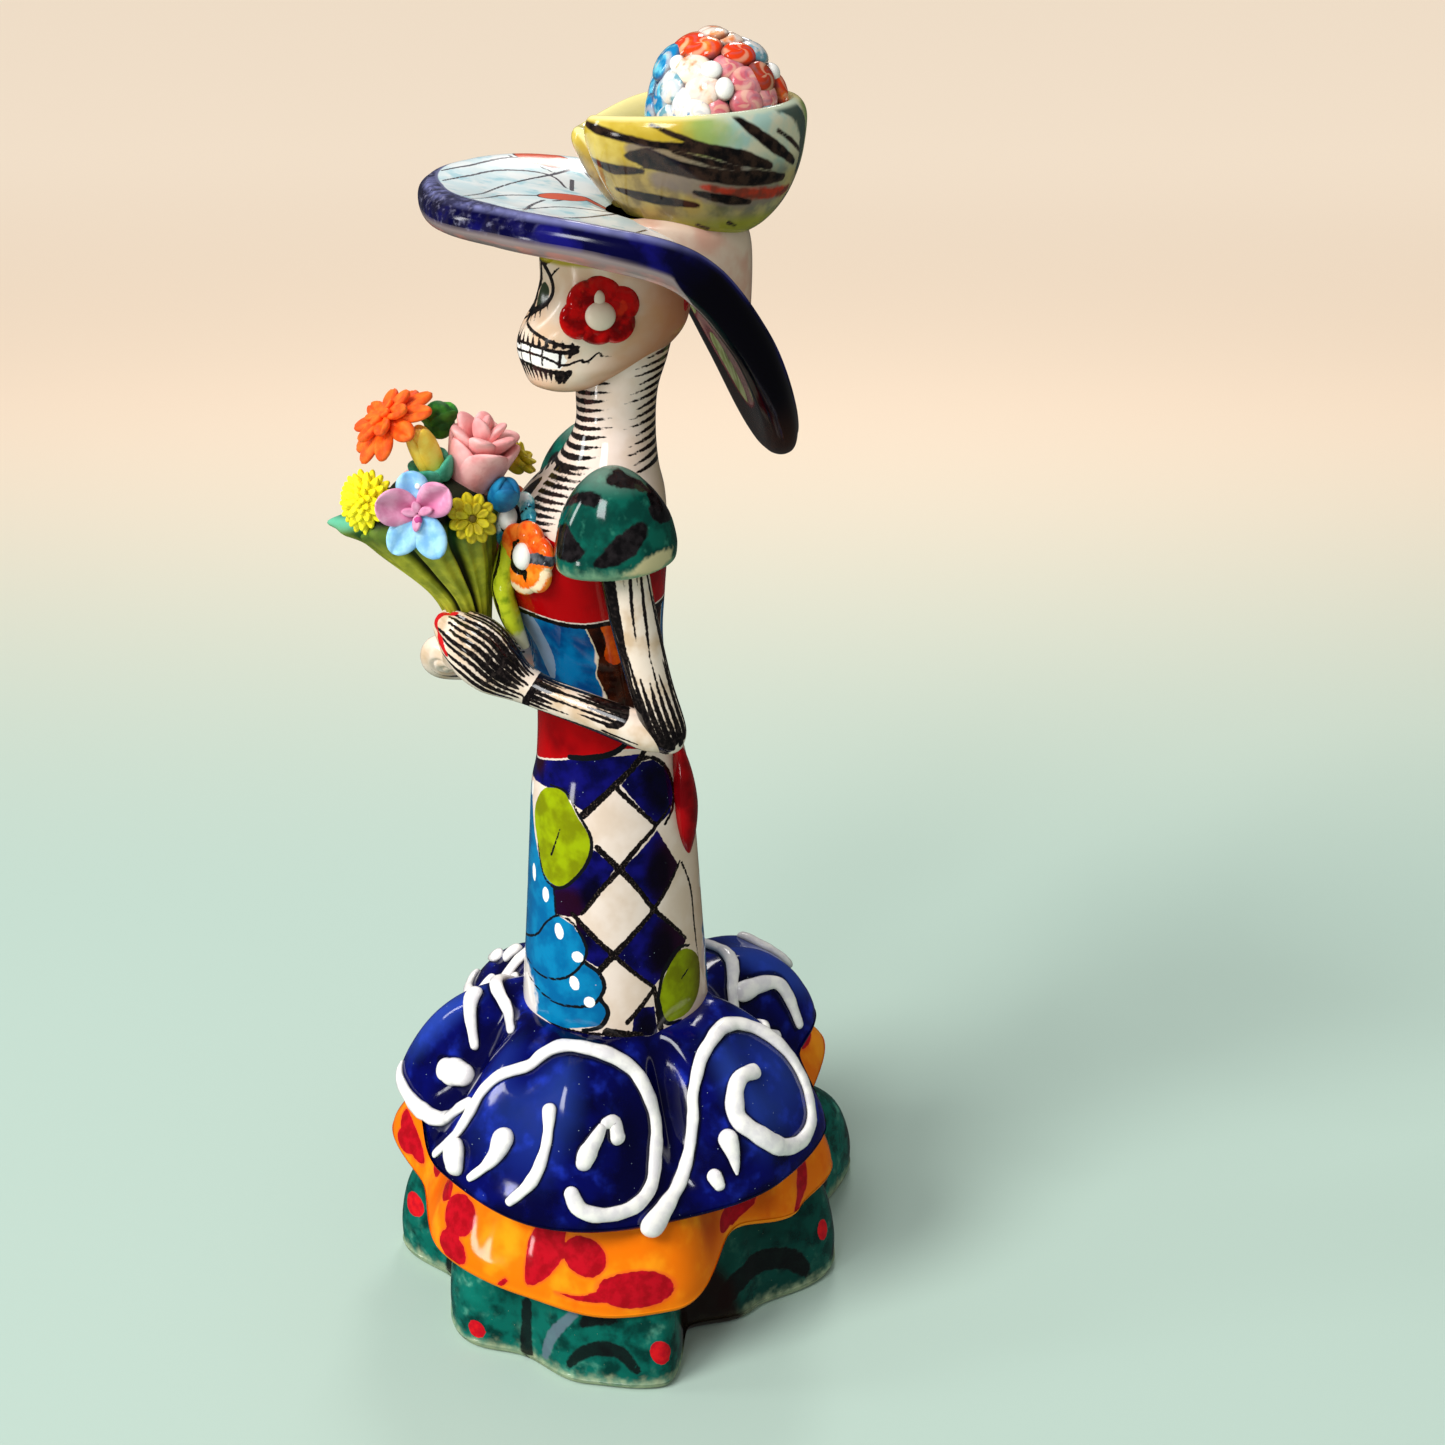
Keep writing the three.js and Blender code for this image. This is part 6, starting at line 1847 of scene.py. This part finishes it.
def build_bouquet():
    """The bouquet's flowers and buds, each a piece of its own."""
    orange = clay("orange_clay", (255, 112, 24), (238, 78, 10), 2.6, 0.09, 0.8, 0.6)
    pink = clay("pink_clay", (252, 190, 188), (240, 160, 160), 4.0)
    yellow = clay("yellow_clay", (254, 246, 30), (242, 226, 12), 2.6)
    mustard = clay("mustard_clay", (208, 192, 14), (184, 162, 8), 2.2, tints=[
        # Tone one is the yellow daisy's dark heart, painted shade in its hollow
        ("tone", 0.4, 0.6, 1.0, (112, 92, 10)),
    ])
    lilac = clay("lilac_clay", (236, 168, 200), (216, 134, 172), 2.6, 0.07, 0.8, 0.58, [
        ("heart", 0.3, 0.85, 0.75, (186, 84, 136)),
        ("tone", 0.4, 0.6, 1.0, (168, 218, 246), (126, 186, 234), 3.0),
        ("tone", 1.4, 1.6, 1.0, (196, 70, 140)),
        ("tone", 2.4, 2.6, 1.0, (232, 240, 244)),
    ])
    blue = clay("blue_clay", (22, 130, 176), (10, 100, 150), 2.6)
    green = clay("green_clay", (66, 144, 38), (22, 92, 30), 2.8)
    tulip = clay("tulip_clay", (255, 228, 96), (250, 208, 66), 2.4, 0.06, 0.8, 0.55, [
        ("tone", 0.4, 0.6, 1.0, (84, 186, 156), (52, 152, 120), 2.4),
    ])

    daisy = flower((3.7, -46.4, 226.3), (0.16, -0.6, 0.78), [
        (9, 0.0, (0.6, 10.2, 2.45, 1.3, -2.0, 1.3, 1.35, -0.3, 28, 20)),
        (7, 0.5, (0.2, 7.6, 1.95, 1.2, 0.6, 1.1, 1.3, 1.1, 26, 18)),
        (5, 0.2, (0.0, 3.8, 1.2, 0.9, 0.7, 0.6, 1.0, 1.8)),
    ], [((0, 0, -1.2), (4.8, 4.8, 1.9), 0.0)])
    piece("orange_daisy_clay", daisy, orange, "orange_daisy", "orange_clay")

    build_rose(pink)

    zinnia = flower((8.8, -52.2, 210.2), (0.8, -0.5, 0.33), [
        (16, 0.0, (2.4, 6.9, 1.0, 0.9, -0.6, 0.35, 0.85, -0.5)),
        (14, 0.5, (1.8, 6.0, 1.0, 0.9, 0.1, 0.35, 0.85, 0.6, 22, 16, 0.4)),
        (11, 0.2, (1.0, 4.6, 0.95, 0.9, 0.2, 0.3, 0.85, 1.6, 20, 14, 0.8)),
        (8, 0.4, (0.6, 3.2, 0.8, 0.8, 0.2, 0.2, 0.85, 2.5, 20, 14, 0.8)),
        (4, 0.1, (0.0, 1.7, 0.7, 0.8, 0.2, 0.2, 0.9, 3.2, 20, 14, 0.6)),
    ], [((0, 0, 0.4), (3.2, 3.2, 2.8), 0.0), ((0, 0, -1.2), (4.4, 4.4, 1.9), 0.0)])
    piece("yellow_zinnia_clay", zinnia, yellow, "yellow_zinnia", "yellow_clay")

    build_pansy(lilac)

    # The small dark heart is painted shade in the hollow of the daisy
    daisy = flower((15, -30.7, 206.9), (1, 0.0, 0.2), [
        (11, 0.0, (1.4, 5.5, 1.4, 1.35, 0.3, 0.6, 1.05, 0.0)),
        (8, 0.5, (0.9, 3.9, 1.0, 1.1, 1.0, 0.4, 1.1, 0.9)),
    ], [((0, 0, -0.9), (4.0, 4.0, 1.8), 0.0), ((0, 0, 0.7), (0.9, 0.9, 0.6), 1.0)])
    piece("yellow_daisy_clay", daisy, mustard, "yellow_daisy", "yellow_clay")

    turned = basis((0.6, 0.2, 0.77))
    middle = np.array([9.2, -23.1, 209.9])
    bud = [egg(middle, (3.1, 3.1, 3.4), 32, 22, turned, {"tone": 0.0})]
    bud += [wrap(turned, middle, TURN * (k + .1) / 3, 1.9, 0.2, -6, (1.3, 3.0, 3.6), 0.05) for k in range(3)]
    piece("blue_bud_clay", bud, blue, "blue_bud", "blue_clay")

    turned = basis((0.1, -0.34, 0.93))
    middle = np.array([6.8, -39, 219.4])
    cup = [egg(middle, (2.9, 2.9, 5.6), 32, 24, turned, {"tone": 0.0}),
           egg(middle - turned[2] * 5.0, (3.4, 3.4, 2.6), 30, 20, turned, {"tone": 1.0})]
    cup += [wrap(turned, middle, TURN * (k + .2) / 3, 1.9, 0.2, 1, (1.2, 2.8, 5.5), 0.06) for k in range(3)]
    for k in range(4):
        cup.append(wrap(turned, middle, TURN * (k + .45) / 4, 3.5, -4.4, 24, (1.1, 2.9, 3.0), 0.08, 0.4, 1.0))
    piece("tulip_clay", cup, tulip, "tulip", "yellow_clay")

    bud = flower((-3, -35, 223.5), (0, -0.1, 1), [
        (3, 0.2, (0.0, 4.4, 3.6, 1.2, 3.0, 0.2, 0.9, -0.6)),
    ], [((0, 0, 0), (3.4, 3.4, 4.2), 0.0)])
    piece("green_bud_clay", bud, green, "green_bud", "green_clay")

    spots = {
        "small_yellow": ((-4, -18.2, 213.4), (0.1, 0.7, 0.6), 4.9, 8, mustard, "yellow_clay"),
        "far_orange": ((-11.5, -31, 207), (-0.9, 0.1, 0.4), 6.7, 10, orange, "orange_clay"),
        "far_pink": ((-9.8, -39.6, 207.6), (-0.8, -0.1, 0.5), 4.5, 7, pink, "pink_clay"),
        "far_yellow": ((-4, -52, 206), (-0.45, -0.85, 0.3), 5.9, 10, yellow, "yellow_clay"),
    }
    for name, (middle, facing, reach, count, material, slot) in spots.items():
        half = reach * 2.6 / count
        group = flower(middle, facing, [
            (count, 0.0, (0.5, reach, half, 0.95, 0.8, 0.45, 0.75, 0.1)),
            (count - 2, 0.5, (0.3, reach * .7, half * .8, 0.9, 1.4, 0.4, 0.75, 1.0)),
        ], [((0, 0, 0.4), (reach * .36, reach * .36, 1.9), 0.0),
            ((0, 0, -1.3), (reach * .62, reach * .62, 1.8), 0.0)])
        piece(name + "_clay", group, material, name, slot)


build_leaves()
build_bouquet()

# Floor and light

stage_mesh = bpy.data.meshes.new("floor")
work = bmesh.new()
bmesh.ops.create_grid(work, x_segments=1, y_segments=1, size=14.0)
work.to_mesh(stage_mesh)
work.free()
floor = bpy.data.objects.new("floor", stage_mesh)
bpy.context.scene.collection.objects.link(floor)
ground = Look("pale_floor", 0.8)
away = ground.tree.nodes.new("ShaderNodeSeparateXYZ")
ground.link(ground.place, away.inputs["Vector"])
away = ground.math("ADD", ground.math("MULTIPLY", away.outputs["X"], -0.97),
                   ground.math("MULTIPLY", away.outputs["Y"], 0.22))
near = ground.mix(ground.ramp(away, 0.16, 0.85), (176, 198, 187), (243, 221, 197))
stage_mesh.materials.append(ground.done(ground.mix(ground.ramp(away, 0.8, 1.8), near, (255, 236, 214))))
floor.visible_glossy = False

MIDDLE_HEIGHT = 0.15
AIM = (0, 0, MIDDLE_HEIGHT)
SUN_POWER = 2.7

# Name, azimuth, elevation, distance, aim, width, height, power, colour, and is it mirrored in the glaze
LAMPS = [
    ("window", -34, 50, 0.9, AIM, 0.2, 0.3, 2.2, (0.96, 0.98, 1.0), True),
    ("low_window", -62, -4, 0.9, AIM, 0.1, 0.14, 0.5, (1.0, 0.98, 0.96), True),
    ("side_window", -100, 30, 0.9, AIM, 0.12, 0.3, 1.2, (1.0, 1.0, 1.0), True),
    ("fill", -40, 12, 1.1, (0, -0.03, 0.2), 0.6, 0.6, 1.0, (1.0, 0.97, 0.94), False),
    ("rear", 160, 45, 0.9, AIM, 0.2, 0.3, 1.9, (1.0, 0.97, 0.94), True),
]


def lamp(name, azimuth, elevation, distance, aim, width, height, power, colour, glossy):
    """A soft flat lamp beside her, turned to its aim."""
    data = bpy.data.lights.new(name, "AREA")
    data.shape = "RECTANGLE"
    data.size = width
    data.size_y = height
    data.energy = power
    data.color = colour
    thing = bpy.data.objects.new(name, data)
    bpy.context.scene.collection.objects.link(thing)
    a, e = math.radians(azimuth), math.radians(elevation)
    flat = distance * math.cos(e)
    place = np.array([flat * math.cos(a), flat * math.sin(a), MIDDLE_HEIGHT + distance * math.sin(e)])
    x, y, z = np.asarray(aim, float) - place
    thing.location = place
    thing.rotation_euler = (math.atan2(math.hypot(x, y), -z), 0.0, math.atan2(y, x) - math.pi / 2)
    thing.visible_glossy = glossy


sun = bpy.data.lights.new("key", "SUN")
sun.energy = SUN_POWER
sun.angle = math.radians(24)
sun.color = (1.0, 0.985, 0.96)
key = bpy.data.objects.new("key", sun)
bpy.context.scene.collection.objects.link(key)
key.rotation_euler = (math.radians(48), 0.0, math.radians(24))
key.visible_glossy = False
for row in LAMPS:
    lamp(*row)

ROOM_LIGHT = 0.42
ROOM_REFLECTION = 0.05
world = bpy.data.worlds.new("soft_room")
world.use_nodes = True
room = world.node_tree
path_node = room.nodes.new("ShaderNodeLightPath")
strength = room.nodes.new("ShaderNodeMapRange")
strength.inputs["To Min"].default_value = ROOM_LIGHT
strength.inputs["To Max"].default_value = ROOM_REFLECTION
room.links.new(path_node.outputs["Is Glossy Ray"], strength.inputs["Value"])
room.links.new(strength.outputs["Result"], room.nodes["Background"].inputs["Strength"])
room.nodes["Background"].inputs["Color"].default_value = (0.88, 0.89, 0.87, 1.0)
bpy.context.scene.world = world
